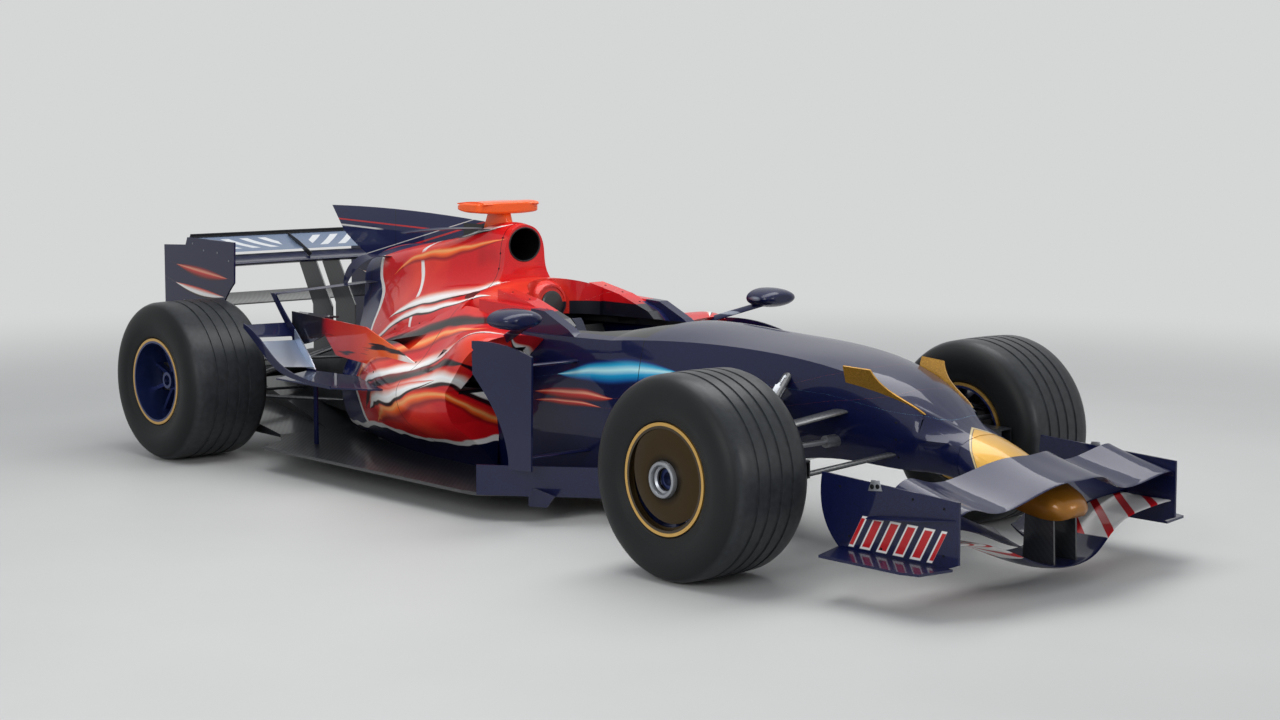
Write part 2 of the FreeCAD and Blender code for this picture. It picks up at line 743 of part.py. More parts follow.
def make_engine_cover(outside):
    """The cover with its tall fin, the airbox inlet and the open exit at its tail."""
    body = loft([arch_section(x, rib) for x, rib in cover_ribs])
    top = [(front_at(-1900), 1004), (front_at(-2040), 1014), (rear_at(33), 1037)]
    rear_edge = [(rear_at(121), 930), (rear_at(275), 845), (rear_at(430), 790)]
    fin = curved_plate([
        top,
        [top[-1], rear_edge[0]],
        rear_edge,
        [rear_edge[-1], (front_at(-1900), 780)],
        [(front_at(-1900), 780), top[0]],
    ], -fin_thickness / 2, fin_thickness / 2)
    inlet = loft([oval(cover_front_x, 0, 932, 78, 66), oval(inlet_x, 0, 932, 62, 50)])
    hollow = loft([arch_section(x, rib) for x, rib in exit_ribs])
    return body.fuse(fin).removeSplitter().cut(inlet).cut(hollow).cut(outside)


def make_cover_winglets(cover):
    """The thin horns beside the airbox and the curved blades on the cover's tail."""
    horn = half_wing([(44, front_at(-1830), 988, 130), (130, front_at(-2000), 986, 100),
                      (205, front_at(-2240), 962, 50)], 5, 4, 0)
    blade_span = [(118, rear_at(650), 848, 124), (176, rear_at(590), 846, 100), (206, rear_at(510), 800, 70),
                  (212, rear_at(440), 730, 30)]
    return pair(horn.cut(cover)), pair(half_wing(blade_span, 6, 4, 0).cut(cover))


# Sidepods. Each rib lists (half width, height) from its inner top round to its inner bottom.
pod_front_x = front_at(-1180)
pod_ribs = [
    (pod_front_x, [(280, 640), (450, 644), (566, 616), (622, 530),
                   (586, 390), (430, 230), (330, floor_top)]),
    (front_at(-1500), [(300, 668), (450, 640), (562, 580), (624, 470),
                       (586, 340), (430, 210), (340, floor_top)]),
    (front_at(-1768), [(300, 706), (398, 612), (500, 500), (606, 410),
                       (590, 320), (440, 200), (340, floor_top)]),
    (front_at(-2000), [(280, 650), (372, 588), (452, 528), (530, 440),
                       (540, 350), (420, 200), (320, floor_top)]),
    (rear_at(845), [(240, 590), (320, 540), (398, 492), (436, 420),
                    (426, 330), (350, 180), (270, floor_top)]),
    (rear_at(495), [(150, 500), (210, 460), (262, 404), (284, 330),
                    (276, 240), (240, 160), (150, floor_top)]),
]


def make_sidepods(outside, cover):
    """The sidepods with their raked mouths, their ducts and the vents on top."""
    body = loft([side_section(x, rib) for x, rib in pod_ribs])
    mouth = [(front_at(-1200), 660), (front_at(-1453), 430), (front_at(-1500), 300), (front_at(-1500), 0),
             (pod_front_x, 0), (pod_front_x, 660)]
    duct_front_outline = ((400, 604), (548, 596), (584, 450), (400, 436))
    duct_rear_outline = ((390, 560), (500, 552), (520, 440), (390, 420))
    duct = loft([polygon([(pod_front_x, -y, z) for y, z in duct_front_outline]),
                 polygon([(front_at(-1640), -y, z) for y, z in duct_rear_outline])], True)
    vent = plate_xy([(front_at(-2107), -396), (front_at(-1862), -396), (front_at(-1905), -448)], 500, 700)
    below = box((tail_at(0), -floor_half_width, 0), (tip_at(0), 0, floor_top))
    pod = body.cut(plate_xz(mouth, -floor_half_width, 0)).cut(duct).cut(vent)
    return pod.cut(outside).cut(cover).cut(below)


# Headrest and cockpit
def make_headrest(outside):
    """The padded horseshoe round the driver's head, higher at the back."""
    outline = [(front_at(-1175), 640), (front_at(-1240), 692), (front_at(-1408), 748), (front_at(-1582), 782),
               (front_at(-1582), 640)]
    arm = plate_xz(outline, -coaming_inner, -head_room)
    ribs = [
        (front_at(-1500), [(coaming_inner, 660), (258, 730), (180, 772), (80, 790), (0, 794)]),
        (front_at(-1620), [(coaming_inner, 660), (258, 736), (180, 782), (80, 802), (0, 806)]),
        (cover_front_x, [(coaming_inner, 660), (258, 736), (180, 772), (80, 796), (0, 800)]),
    ]
    back = loft([arch_section(x, rib) for x, rib in ribs])
    hollow = Part.makeCylinder(head_room, 400, Vec(front_at(-1420), 0, 600))
    return fuse([arm, mirror(arm), back]).cut(hollow).cut(outside)


def make_seat(tub):
    """A one-piece seat shell that stands on the tub's floor."""
    base = floor_top + hull_wall + seat_gap
    outline = [(front_at(-1020), base), (front_at(-1290), base), (front_at(-1560), base + 480),
               (front_at(-1520), base + 500), (front_at(-1270), base + 60), (front_at(-1020), base + 40)]
    return plate_xz(outline, -seat_half_width, seat_half_width).cut(tub)


def make_steering_wheel():
    """A steering wheel with two grips, and its column through the dash."""
    half_w, half_h = wheel_rim_width / 2, wheel_rim_height / 2
    grip = half_w * 0.72
    grip_half = wheel_rim_depth / 2
    outline = [(-half_w, -half_h * 0.55), (-half_w, half_h * 0.7), (-grip, half_h), (grip, half_h),
               (half_w, half_h * 0.7), (half_w, -half_h * 0.55), (half_w * 0.6, -half_h),
               (-half_w * 0.6, -half_h)]
    body = Part.Face(polygon([(0, y, z) for y, z in outline])).extrude(Vec(wheel_rim_depth, 0, 0))
    for side in (-1, 1):
        hole = box((0, side * grip - grip_half, -half_h * 0.45),
                   (wheel_rim_depth, side * grip + grip_half, half_h * 0.55))
        body = body.cut(hole)
    column = Part.makeCylinder(column_radius, column_length, Vec(wheel_rim_depth / 2, 0, 0), Vec(1, 0, 0))
    return place_column(fuse([body, column]))


# Floor
def make_floor():
    """The stepped floor: a raised wide part on a narrow centre, with a tray out to the front."""
    fore, aft = front_at(floor_front_station), rear_at(floor_rear_station)
    tray_front = front_at(tray_station)
    centre = box((aft, -step_half_width, reference_plane), (fore, step_half_width, floor_top))
    tray = plate_xy([(tray_front, -step_half_width + 30), (tray_front - 30, -step_half_width),
                     (fore, -step_half_width), (fore, step_half_width),
                     (tray_front - 30, step_half_width), (tray_front, step_half_width - 30)],
                    reference_plane, reference_plane + floor_thickness)
    edge = [(fore, 330), (fore - 40, 560), (fore - 170, floor_half_width - 10),
            (fore - 250, floor_half_width), (aft + 210, floor_half_width), (aft + 130, 560), (aft, 480)]
    wide = plate_xy([(x, -y) for x, y in edge] + [(x, y) for x, y in edge[::-1]], step_plane, floor_top)
    return fuse([centre, tray, wide])


def make_plank():
    return box((rear_at(plank_rear_station), -plank_half_width, plank_bottom),
               (front_at(tray_station - 20), plank_half_width, reference_plane))


def make_diffuser(plank):
    """Two side tunnels and a taller middle one, with their fences."""
    fore, aft = rear_at(floor_rear_station), rear_at(diffuser_rear_station)
    tunnels = []
    for y0, y1, base, rise in ((-240, 240, reference_plane, 290), (-478, -236, step_plane, 208),
                               (236, 478, step_plane, 208)):
        start = polygon([(fore, y0, base), (fore, y1, base), (fore, y1, floor_top), (fore, y0, floor_top)])
        top = rise + tunnel_roof
        end = polygon([(aft, y0, rise), (aft, y1, rise), (aft, y1, top), (aft, y0, top)])
        tunnels.append(loft([start, end], True))
    middle_fence = [(fore, reference_plane + tunnel_roof), (aft, 120), (aft, 300), (fore, floor_top)]
    outer_fence = [(fore, step_plane), (aft, 100), (aft, 218), (fore, floor_top)]
    half = thin_plate / 2
    fences = [plate_xz(middle_fence, y - half, y + half) for y in (-237, -90, 90, 237)]
    fences += [plate_xz(outer_fence, y - half, y + half) for y in (-475, -356, 356, 475)]
    return fuse([*tunnels, *fences]).cut(plank)


# Engine and gearbox
def make_engine_block():
    return box((rear_at(gearbox_front_station), -engine_half_width, floor_top),
               (front_at(tub_rear_station), engine_half_width, floor_top + engine_height))


def make_gearbox():
    return loft([arch_section(rear_at(gearbox_front_station), [(140, 144), (135, 330), (90, 450), (0, 470)]),
                 arch_section(rear_at(195), [(112, 170), (118, 320), (80, 410), (0, 425)]),
                 arch_section(rear_at(gearbox_rear_station), [(84, 210), (90, 310), (60, 380), (0, 392)])])


def make_crash_structure():
    """The tapered rear structure, with the bore that the starter's shaft goes into."""
    rear = rear_at(crash_rear_station)
    body = loft([arch_section(rear_at(gearbox_rear_station), [(62, 236), (64, 310), (44, 352), (0, 360)]),
                 arch_section(rear, [(40, 240), (42, 315), (30, 345), (0, 350)])])
    mouth = Vec(rear, 0, starter_bore_z)
    return body.cut(Part.makeCylinder(starter_bore_radius, starter_bore_depth, mouth, Vec(1, 0, 0)))


def make_rain_light():
    rear = rear_at(crash_rear_station)
    return box((rear - light_depth, -32, starter_bore_z + starter_bore_radius + thin_plate), (rear, 32, 346))


# Winglets and boards
def make_flip_ups(floor, pods, fins):
    """The right-hand shelf, outer board and two-element winglet ahead of the rear wheel, with their stays."""
    edge_y = floor_half_width
    shelf = plate_xy([(front_at(-1840), -470), (front_at(-1930), -610), (front_at(-2080), -edge_y),
                      (rear_at(640), -edge_y), (rear_at(510), -450), (front_at(-2080), -400)],
                     shelf_z, shelf_z + thin_plate)
    low = [(front_at(-2080), 384), (rear_at(800), 396), (rear_at(638), 428), (rear_at(500), 512),
           (rear_at(404), 574)]
    high = [(rear_at(404), 592), (rear_at(510), 546), (rear_at(640), 462), (rear_at(800), 414),
            (front_at(-2080), 398)]
    board = curved_plate([low, [low[-1], high[0]], high, [high[-1], low[0]]], -edge_y, -edge_y + thin_plate)
    outer_y, inner_y = -edge_y + trailing_edge, -flip_up_inner
    main = loft([wing_section(rear_at(638), outer_y, 437, 168, 9, 8, 31),
                 wing_section(rear_at(525), inner_y, 404, 158, 9, 8, 40)])
    flap = loft([wing_section(rear_at(480), outer_y, 540, 84, 7, 4, 33),
                 wing_section(rear_at(398), inner_y, 522, 80, 7, 4, 40)])
    strut = curved_plate([
        [(rear_at(228), 692), (rear_at(300), 610), (rear_at(420), 480), (rear_at(500), shelf_z)],
        [(rear_at(500), shelf_z), (rear_at(560), shelf_z)],
        [(rear_at(560), shelf_z), (rear_at(450), 510), (rear_at(330), 620), (rear_at(262), 692)],
        [(rear_at(262), 692), (rear_at(228), 692)],
    ], inner_y - thin_plate, inner_y)
    stay_x = rear_at(614)
    stay = box((stay_x, -500 - thin_plate, floor_top), (stay_x + 24, -500, shelf_z + 2))
    bridge = half_wing([(132, rear_at(560), 742, 70), (453, rear_at(300), 690, 60)], 5, 2, 0)
    return fuse([shelf, board, main, flap, strut, stay, bridge]).cut(floor).cut(pods).cut(fins)


def make_pod_fins(pods):
    """The right-hand upright fin that carries the pod's shoulder line back towards the wheel."""
    x = front_at(-1768)
    fin = curved_plate([
        [(x, 440), (x, 486)],
        [(x, 486), (front_at(-1980), 552), (front_at(-2160), 604)],
        [(front_at(-2160), 604), (rear_at(339), 620)],
        [(rear_at(339), 620), (rear_at(339), 480)],
        [(rear_at(339), 480), (rear_at(480), 500), (rear_at(610), 545)],
        [(rear_at(610), 545), (rear_at(700), 470)],
        [(rear_at(700), 470), (x, 440)],
    ], -thin_plate, 0)
    fin.translate(Vec(0, -pod_fin_y, 0))
    fin.rotate(Vec(x, -pod_fin_y, 0), Vec(0, 0, 1), -4.5)
    tab = plate_xy([(rear_at(559), -438), (rear_at(559), -340), (rear_at(289), -350), (rear_at(349), -422)],
                   604, 604 + thin_plate)
    return fuse([fin, tab]).cut(pods)


def make_bargeboards(floor, tub, pod):
    """The right-hand upright board beside the cockpit, the low deflector under it and their stays."""
    y = -board_y
    rear_edge = [(front_at(-1060), 196), (front_at(-1086), 310), (front_at(-1180), 440),
                 (front_at(-1266), 520)]
    top = [(front_at(-1269), 638), (front_at(-1090), 638), (front_at(-932), 609)]
    board = curved_plate([
        [(front_at(-932), 609), (front_at(-937), 204)],
        [(front_at(-937), 204), rear_edge[0]],
        rear_edge,
        [rear_edge[-1], top[0]],
        top,
    ], y, y + plate_thickness)
    path = [(front_at(-600), -230), (front_at(-850), -420), (front_at(-1060), -600), (front_at(-1180), -692)]
    deflector = wall(path, deflector_low, deflector_high, thin_plate)
    vane_outline = [(front_at(-1040), 58), (front_at(-942), 66), (front_at(-900), 112), (front_at(-1040), 130)]
    vane = plate_xz(vane_outline, -566, -566 + thin_plate)
    stays = [blade((front_at(s), y + plate_thickness / 2, z), (front_at(s), -300, z), arm_chord, 12)
             for s, z in ((-1000, 240), (-1060, 560))]
    return fuse([board, deflector, vane, *stays]).cut(tub).cut(floor).cut(pod)


def make_mirrors(pod):
    """The right-hand mirror on its stalk."""
    y, z = -mirror_y, mirror_z
    head = loft([oval(front_at(s), y, z, w, h) for s, w, h in
                 ((-950, 46, 14), (-966, 80, 28), (-1010, 94, 37), (-1064, 90, 36))])
    foot = (front_at(-1300), -488, 616)
    stalk = blade((front_at(-1000), y + 40, z - 16), foot, arm_chord, stalk_thickness)
    return fuse([head, stalk]).cut(pod)


def make_camera_pod(cover):
    x = front_at(-1825)
    pod = loft([wing_section(x, y, camera_z, camera_chord, camera_thickness, 0, 0)
                for y in (-camera_half_width, camera_half_width)])
    stem = box((x - 105, -12, 990), (x - 55, 12, camera_z - 4))
    return fuse([pod, stem]).cut(cover)


# Rear wing
rear_main_span = [(0, tail_at(540), 800, 220), (rear_wing_half_span, tail_at(545), 798, 225)]
rear_flap_span = [(0, tail_at(346), 834, 158), (rear_wing_half_span, tail_at(346), 834, 158)]
beam_span = [(0, tail_at(310), 600, 190), (rear_wing_half_span, tail_at(310), 600, 190)]


def make_rear_endplates():
    y = -rear_wing_half_span
    return pair(curved_plate([
        [(tail_at(575), 893), (tail_at(568), 720)],
        [(tail_at(568), 720), (tail_at(490), 640), (tail_at(390), 420)],
        [(tail_at(390), 420), (tail_at(220), 330)],
        [(tail_at(220), 330), (tail_at(0), 330)],
        [(tail_at(0), 330), (tail_at(0), 856)],
        [(tail_at(0), 856), (tail_at(180), 864)],
        [(tail_at(180), 864), (tail_at(196), 897)],
        [(tail_at(196), 897), (tail_at(575), 893)],
    ], y - plate_thickness, y))


def make_rear_pylons(main_plane, gearbox):
    """The two thin pylons from the gearbox up to the rear wing's main plane."""
    outline = [(rear_at(-13), 792), (rear_at(108), 600), (rear_at(108), 360), (rear_at(-40), 360),
               (rear_at(-40), 600), (rear_at(-150), 792)]
    plate = plate_xz(outline, -rear_pylon_y - thin_plate / 2, -rear_pylon_y + thin_plate / 2)
    return pair(plate.cut(main_plane).cut(gearbox))


def make_wheel_pieces(end, x, y, tyre_width, rim_width, recess, spoke_back, inner_y):
    """The right-hand wheel's pieces by name."""
    pieces = {
        f"tyre_{end}": revolve_y(tyre_profile(tyre_width, rim_width), x, -y, tyre_radius),
        f"rim_{end}": make_rim(x, -y, rim_width, -1, recess),
        f"hub_{end}": make_hub(x, spoke_back, inner_y),
    }
    if end == "front":
        pieces["wheel_cover_front"] = make_cover(x, -y)
    return pieces


def main():
    os.makedirs("parts", exist_ok=True)
    outside = make_tub_outside()
    nose = make_nose()
    main_plane = wing(front_main_span, 24, 12, 3)
    cover = make_engine_cover(outside)
    floor = make_floor()
    plank = make_plank()
    gearbox = make_gearbox()
    crash = make_crash_structure()
    engine = make_engine_block()
    rear_upright = make_rear_upright()
    rear_suspension = make_rear_suspension(rear_upright, gearbox)
    rear_main = wing(rear_main_span, 24, 18, 5)
    front_upright = make_front_upright()
    tub = make_monocoque(outside).cut(floor)
    pod = make_sidepods(outside, cover).cut(engine).cut(gearbox).cut(floor)
    pod_fin = make_pod_fins(pod)
    horns, tail_blades = make_cover_winglets(cover)
    parts = {
        "monocoque": tub,
        "nose_cone": nose,
        "nose_fins": make_nose_fins(nose, outside),
        "front_wing_main_plane": main_plane,
        "front_wing_flaps": pair(half_wing(front_flap_span, 14, 8, 22)),
        "front_wing_upper_plane": wing(front_upper_span, 13, 6, 14).cut(nose),
        "front_wing_endplates": make_front_endplates(),
        "nose_pylons": make_nose_pylons(nose, main_plane),
        "headrest": make_headrest(outside),
        "seat": make_seat(tub),
        "steering_wheel": make_steering_wheel(),
        "steering_rack": make_steering_rack(),
        "engine_cover": cover.cut(engine).cut(gearbox).cut(rear_suspension),
        "airbox_horns": horns,
        "cover_tail_blades": tail_blades,
        "camera_pod": make_camera_pod(cover),
        "sidepods": pair(pod),
        "pod_fins": pair(pod_fin),
        "flip_ups": pair(make_flip_ups(floor, pod, pod_fin).cut(cover).cut(tail_blades)),
        "bargeboards": pair(make_bargeboards(floor, outside, pod)),
        "floor": floor,
        "plank": plank,
        "diffuser": make_diffuser(plank).cut(gearbox).cut(crash),
        "engine_block": engine,
        "gearbox": gearbox,
        "crash_structure": crash,
        "rain_light": make_rain_light(),
        "mirrors": pair(make_mirrors(pod)),
        "rear_wing_main_plane": rear_main,
        "rear_wing_flap": wing(rear_flap_span, 14, 10, 24),
        "rear_wing_endplates": make_rear_endplates(),
        "rear_wing_pylons": make_rear_pylons(rear_main, gearbox),
        "beam_wing": wing(beam_span, 22, 10, 10),
        "front_suspension": make_front_suspension(outside),
        "rear_suspension": rear_suspension,
        "rear_uprights": pair(rear_upright),
    }
    pieces = {"front_upright": front_upright, "brake_duct_front": make_brake_duct(front_upright)}
    front_axle_end = front_upright_outer - upright_width - axle_end_length
    pieces.update(make_wheel_pieces("front", front_at(0), front_track / 2, front_tyre_width, front_rim_width,
                                    front_face_recess, front_spoke_back, front_axle_end))
    pieces.update(make_wheel_pieces("rear", rear_at(0), rear_track / 2, rear_tyre_width, rear_rim_width,
                                    rear_face_recess, rear_spoke_back, engine_half_width / 2))
    for name, shape in pieces.items():
        parts[f"{name}_right"] = shape
        parts[f"{name}_left"] = mirror(shape)
    for name, shape in parts.items():
        shape.exportStep(f"parts/{name}.step")


main()
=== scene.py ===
# %% [markdown]
# # Dressing an open wheel racing car
# The car's solids come from its construction file and stay where they are. This lesson gives every one of
# them a finish, models the small things that a solid model leaves out, and sets up the floor, the light and
# the camera. All lengths are in metres: +X is forward, +Y the car's left, +Z up, and the tyres stand on z =
# 0.

# %% Load the solids
import math

import bmesh
import bpy
from mathutils import Matrix, Vector


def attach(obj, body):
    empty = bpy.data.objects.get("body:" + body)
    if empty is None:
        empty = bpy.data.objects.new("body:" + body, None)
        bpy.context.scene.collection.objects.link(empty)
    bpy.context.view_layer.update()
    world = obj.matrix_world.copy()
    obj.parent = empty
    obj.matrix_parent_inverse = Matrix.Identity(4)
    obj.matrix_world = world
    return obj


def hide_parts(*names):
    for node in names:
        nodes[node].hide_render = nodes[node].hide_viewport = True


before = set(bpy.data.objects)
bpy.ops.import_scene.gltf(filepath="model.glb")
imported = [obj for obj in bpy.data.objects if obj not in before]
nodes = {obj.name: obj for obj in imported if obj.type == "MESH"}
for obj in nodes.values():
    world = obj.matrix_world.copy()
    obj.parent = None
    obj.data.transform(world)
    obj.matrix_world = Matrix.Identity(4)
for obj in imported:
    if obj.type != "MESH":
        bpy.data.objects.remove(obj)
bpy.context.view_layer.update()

# %% [markdown]
# ## The camera
# The picture was taken from low in front of the car's right side with a long lens. The place and the tilt
# were found from the wheels, whose size and distance are known, so what is measured in the picture can be
# set straight on the car.

# %% Camera
axles = {"front": 1.350, "rear": -1.745}
front_x = axles["front"]
axle_z = 0.330


def degrees(*angles):
    """Angles in radians."""
    return [math.radians(angle) for angle in angles]


bpy.ops.object.camera_add(location=(6.202, -5.427, 1.516), rotation=degrees(83.37, -0.15, 47.68))
camera = bpy.context.object
camera.name = "camera"
camera.data.lens = 61.03
camera.data.sensor_width = 36.0
camera.data.shift_x = 0.0047
camera.data.shift_y = -0.0097
bpy.context.scene.camera = camera
bpy.context.scene.view_settings.view_transform = "Standard"
print("camera at", tuple(camera.location))

# %% [markdown]
# ## Colours and nodes
# Paint makers give colours as sRGB numbers, and the shader wants linear ones, so one function turns them. A
# second one adds any node with its settings and links, which keeps a long pattern readable. A third starts
# a material with the shader's constant values and gives the piece's own coordinates, which stay on it when
# it moves.

# %% Helpers for materials
materials = {}


def colour(code):
    """A colour written in hex, with or without its alpha, turned from sRGB to linear."""
    parts = [int(code[i:i + 2], 16) / 255 for i in range(1, len(code), 2)]
    linear = [p / 12.92 if p <= 0.04045 else ((p + 0.055) / 1.055) ** 2.4 for p in parts[:3]]
    return (*linear, *(parts[3:] or [1.0]))


def add(tree, kind, inputs=(), stops=None, **settings):
    """Adds a node, fills its inputs with values, hex colours or links, and returns its outputs."""
    made = tree.nodes.new("ShaderNode" + kind)
    for key, value in settings.items():
        setattr(made, key, value)
    if stops:
        ramp = made.color_ramp.elements
        ramp.remove(ramp[0])
        for i, (place, code) in enumerate(stops):
            stop = ramp.new(place) if i else ramp[0]
            stop.position = place
            stop.color = colour(code)
    for key, value in (inputs.items() if isinstance(inputs, dict) else enumerate(inputs)):
        if isinstance(value, bpy.types.NodeSocket):
            tree.links.new(value, made.inputs[key])
        else:
            made.inputs[key].default_value = colour(value) if isinstance(value, str) else value
    return made.outputs


def finish(name, **constants):
    """Starts a material and returns its node tree, its shader's inputs and the piece's own coordinates."""
    materials[name] = bpy.data.materials.new(name)
    materials[name].use_nodes = True
    tree = materials[name].node_tree
    skin = tree.nodes["Principled BSDF"].inputs
    for key, value in constants.items():
        skin[key.replace("_", " ")].default_value = value
    print("finish:", name)
    return tree, skin, add(tree, "TexCoord")["Object"]


def link(tree, skin, **patterns):
    """Links patterns to the shader's inputs of those names."""
    for key, pattern in patterns.items():
        tree.links.new(pattern, skin[key.replace("_", " ")])


def grain(tree, place, millimetres, detail=3.0):
    """Noise whose lumps are about this many millimetres across."""
    return add(tree, "TexNoise", {"Vector": place, "Scale": 1000 / millimetres, "Detail": detail})["Fac"]


def relief(tree, skin, height, depth):
    """Raises the surface by a pattern, by up to a depth in millimetres."""
    bump = add(tree, "Bump", {"Height": height, "Distance": depth / 1000, "Strength": 1.0})
    link(tree, skin, Normal=bump["Normal"])


# %% [markdown]
# ## Masks
# A mask is a pattern that is 1 where a colour has to show and 0 elsewhere. Masks are made from a height or
# a distance on the car, joined with one another, and used to lay one colour over the next, as tape is used
# in a spray booth. Their edges fade over a millimetre or so, which keeps a line smooth from near and far.

# %% Helpers for masks
def mixed(tree, *terms, plus=0.0):
    """Adds values up, each times its own factor: (value, factor), (value, factor), ..., and plus."""
    total = plus
    for value, factor in terms:
        total = add(tree, "Math", (value, factor, total), operation="MULTIPLY_ADD")[0]
    return total


def above(tree, value, limit, soft=0.001):
    """A mask that turns from 0 to 1 where a value passes a limit, and fades over soft on each side of it."""
    return add(tree, "MapRange", {"Value": value, "From Min": limit - soft, "From Max": limit + soft})[0]


def below(tree, value, limit, soft=0.001):
    """A mask that is 1 where a value is under a limit."""
    return above(tree, value, limit, -soft)


def between(tree, value, low, high, soft=0.0015):
    """A mask that is 1 where a value lies between two others."""
    away = mixed(tree, (value, 1.0), plus=-(low + high) / 2)
    away = add(tree, "Math", (away,), operation="ABSOLUTE")[0]
    return below(tree, away, (high - low) / 2, soft)


def stripes(tree, along, pitch, low, high, soft=0.001):
    """A mask of stripes that come back at a pitch, each from low to high within it."""
    return between(tree, add(tree, "Math", (along, pitch), operation="FLOORED_MODULO")[0], low, high, soft)


def all_of(tree, *masks, rule="MULTIPLY"):
    """A mask that is 1 where all of these are."""
    joined = masks[0]
    for mask in masks[1:]:
        joined = add(tree, "Math", (joined, mask), operation=rule)[0]
    return joined


def any_of(tree, *masks):
    """A mask that is 1 where any of these is."""
    return all_of(tree, *masks, rule="MAXIMUM")


def blend(tree, mask, under, over):
    """The second colour laid over the first where the mask is 1."""
    return add(tree, "Mix", {0: mask, 6: under, 7: over}, data_type="RGBA")[2]


def layers(tree, base, *coats):
    """Lays coats over a base one after the other, each given as (mask, colour)."""
    for mask, tint in coats:
        base = blend(tree, mask, base, tint)
    return base


def split(tree, place):
    """The three coordinates of a point, and how far it is from the car's middle plane."""
    x, y, z = add(tree, "SeparateXYZ", (place,))
    return x, y, z, add(tree, "Math", (y,), operation="ABSOLUTE")[0]


def away_from(tree, place, centre, scale=(1, 1, 1)):
    """The distance from a point, with each direction times its own scale. A scale of 0 leaves one out."""
    offset = add(tree, "Mapping", {"Vector": place, "Location": [-value for value in centre]})["Vector"]
    offset = add(tree, "VectorMath", (offset, scale), operation="MULTIPLY")["Vector"]
    return add(tree, "VectorMath", (offset,), operation="LENGTH")["Value"]


# %% [markdown]
# ## The studio
# A dark car shows its shape by what it reflects, so a long soft box hangs over it, as in a car studio. The
# floor and the background are pale. The background is bright only for the camera and for reflections, so it
# doesn't add light.

# %% Floor, background and lamps
pale = "#d5d6d6"
tree, skin, place = finish("painted_studio_floor", Roughness=0.55, Specular_IOR_Level=0.3)
cloud = grain(tree, place, 900, 4.0)
tint = add(tree, "ValToRGB", {"Fac": cloud}, [(0.3, "#cbcbc9"), (0.7, "#cfcfcd")])["Color"]
link(tree, skin, Base_Color=tint)
far = {"Value": away_from(tree, place, (0, 0, 0)), "From Min": 2.7, "From Max": 8.0}
far = add(tree, "MapRange", far, interpolation_type="SMOOTHSTEP")[0]
rays = add(tree, "LightPath")
fade = all_of(tree, far, any_of(tree, rays["Is Camera Ray"], rays["Is Glossy Ray"]))
plain, lit = tree.nodes["Principled BSDF"].outputs[0], add(tree, "Emission", {"Color": pale})[0]
surface = add(tree, "MixShader", (fade, plain, lit))[0]
tree.links.new(surface, tree.nodes["Material Output"].inputs["Surface"])

bpy.ops.object.select_all(action="DESELECT")
just_under_tyres = -0.0005
bpy.ops.mesh.primitive_circle_add(vertices=96, radius=60, fill_type="NGON", location=(0, 0, just_under_tyres))
ground = bpy.context.object
ground.name = "studio_floor"
ground.data.materials.append(materials["painted_studio_floor"])

world = bpy.data.worlds.new("studio")
bpy.context.scene.world = world
world.use_nodes = True
sky = world.node_tree
rays = add(sky, "LightPath")
shown = any_of(sky, rays["Is Camera Ray"], rays["Is Glossy Ray"], rays["Is Transmission Ray"])
link(sky, sky.nodes["Background"].inputs, Color=blend(sky, shown, "#a9adb2", pale))


def lamp(name, place, aim, size, watts):
    """A soft box at a place, turned to face a point."""
    bpy.ops.object.light_add(type="AREA", location=place)
    light = bpy.context.object
    light.name = name
    light.data.shape = "RECTANGLE"
    light.data.size, light.data.size_y = size
    light.data.energy = watts
    light.rotation_euler = (Vector(aim) - Vector(place)).to_track_quat("-Z", "Y").to_euler()


lamp("soft_box_above", (0.3, 0.2, 4.2), (0.3, 0.0, 0.0), (2.2, 6.0), 150)
lamp("soft_box_right", (3.4, -6.0, 2.6), (0.0, 0.0, 0.4), (3.0, 2.0), 110)
lamp("soft_box_front", (7.0, 1.8, 2.4), (1.5, 0.0, 0.3), (2.4, 1.6), 60)

# %% [markdown]
# ## Sprayed carbon fibre
# The body is carbon fibre, filled and sprayed with a dark blue base coat that holds fine mica, under a
# clear coat. So the shader gets a blue with a little metallic in it, a hard clear coat over it, and very
# slight orange peel, the waviness that a spray gun leaves. The mica is under a tenth of a millimetre on the
# real car, and is drawn at 2 mm so that it shows at all.

# %% Paint base
navy = "#0a1448"
deep_navy = "#050a2c"
gloss_coat = {"Roughness": 0.42, "Metallic": 0.1, "Specular_IOR_Level": 0.2, "Coat_Weight": 0.55,
              "Coat_Roughness": 0.03}


def sprayed(name, base, dark, **other):
    """A clear-coated base coat with mica and orange peel. Returns its parts and its base colour."""
    tree, skin, place = finish(name, **{**gloss_coat, **other})
    mica = grain(tree, place, 2, 2.0)
    relief(tree, skin, grain(tree, place, 9, 1.0), 0.035)
    return tree, skin, place, add(tree, "ValToRGB", {"Fac": mica}, [(0.42, dark), (0.62, base)])["Color"]


def joint_line(tree, along, stations, base):
    """Darkens a line at each station, where two panels meet. The real gap is 1 mm, drawn here at 3 mm."""
    half, soft = 0.0015, 0.0006
    for at in stations:
        base = blend(tree, between(tree, along, at - half, at + half, soft), base, "#02030a")
    return base


def stroke(tree, run, height, under, start, level, slope, bend, width, reach, ink):
    """Lays one tapered brush stroke over a colour. It starts at a station, runs back for reach, and bends."""
    back = mixed(tree, (run, -1.0), plus=start)
    path = mixed(tree, (mixed(tree, (back, bend), plus=slope), back), plus=level)
    part = mixed(tree, (back, 1 / reach))
    taper = all_of(tree, part, mixed(tree, (part, -1.0), plus=1.0))
    thick = any_of(tree, mixed(tree, (taper, 4 * width), plus=-0.0004), 0.0001)
    side = add(tree, "Math", (mixed(tree, (path, -1.0), plus=height), thick), operation="DIVIDE")[0]
    drawn = add(tree, "ValToRGB", {"Fac": mixed(tree, (side, 0.5), plus=0.5)}, ink)
    return blend(tree, drawn["Alpha"], under, drawn["Color"])


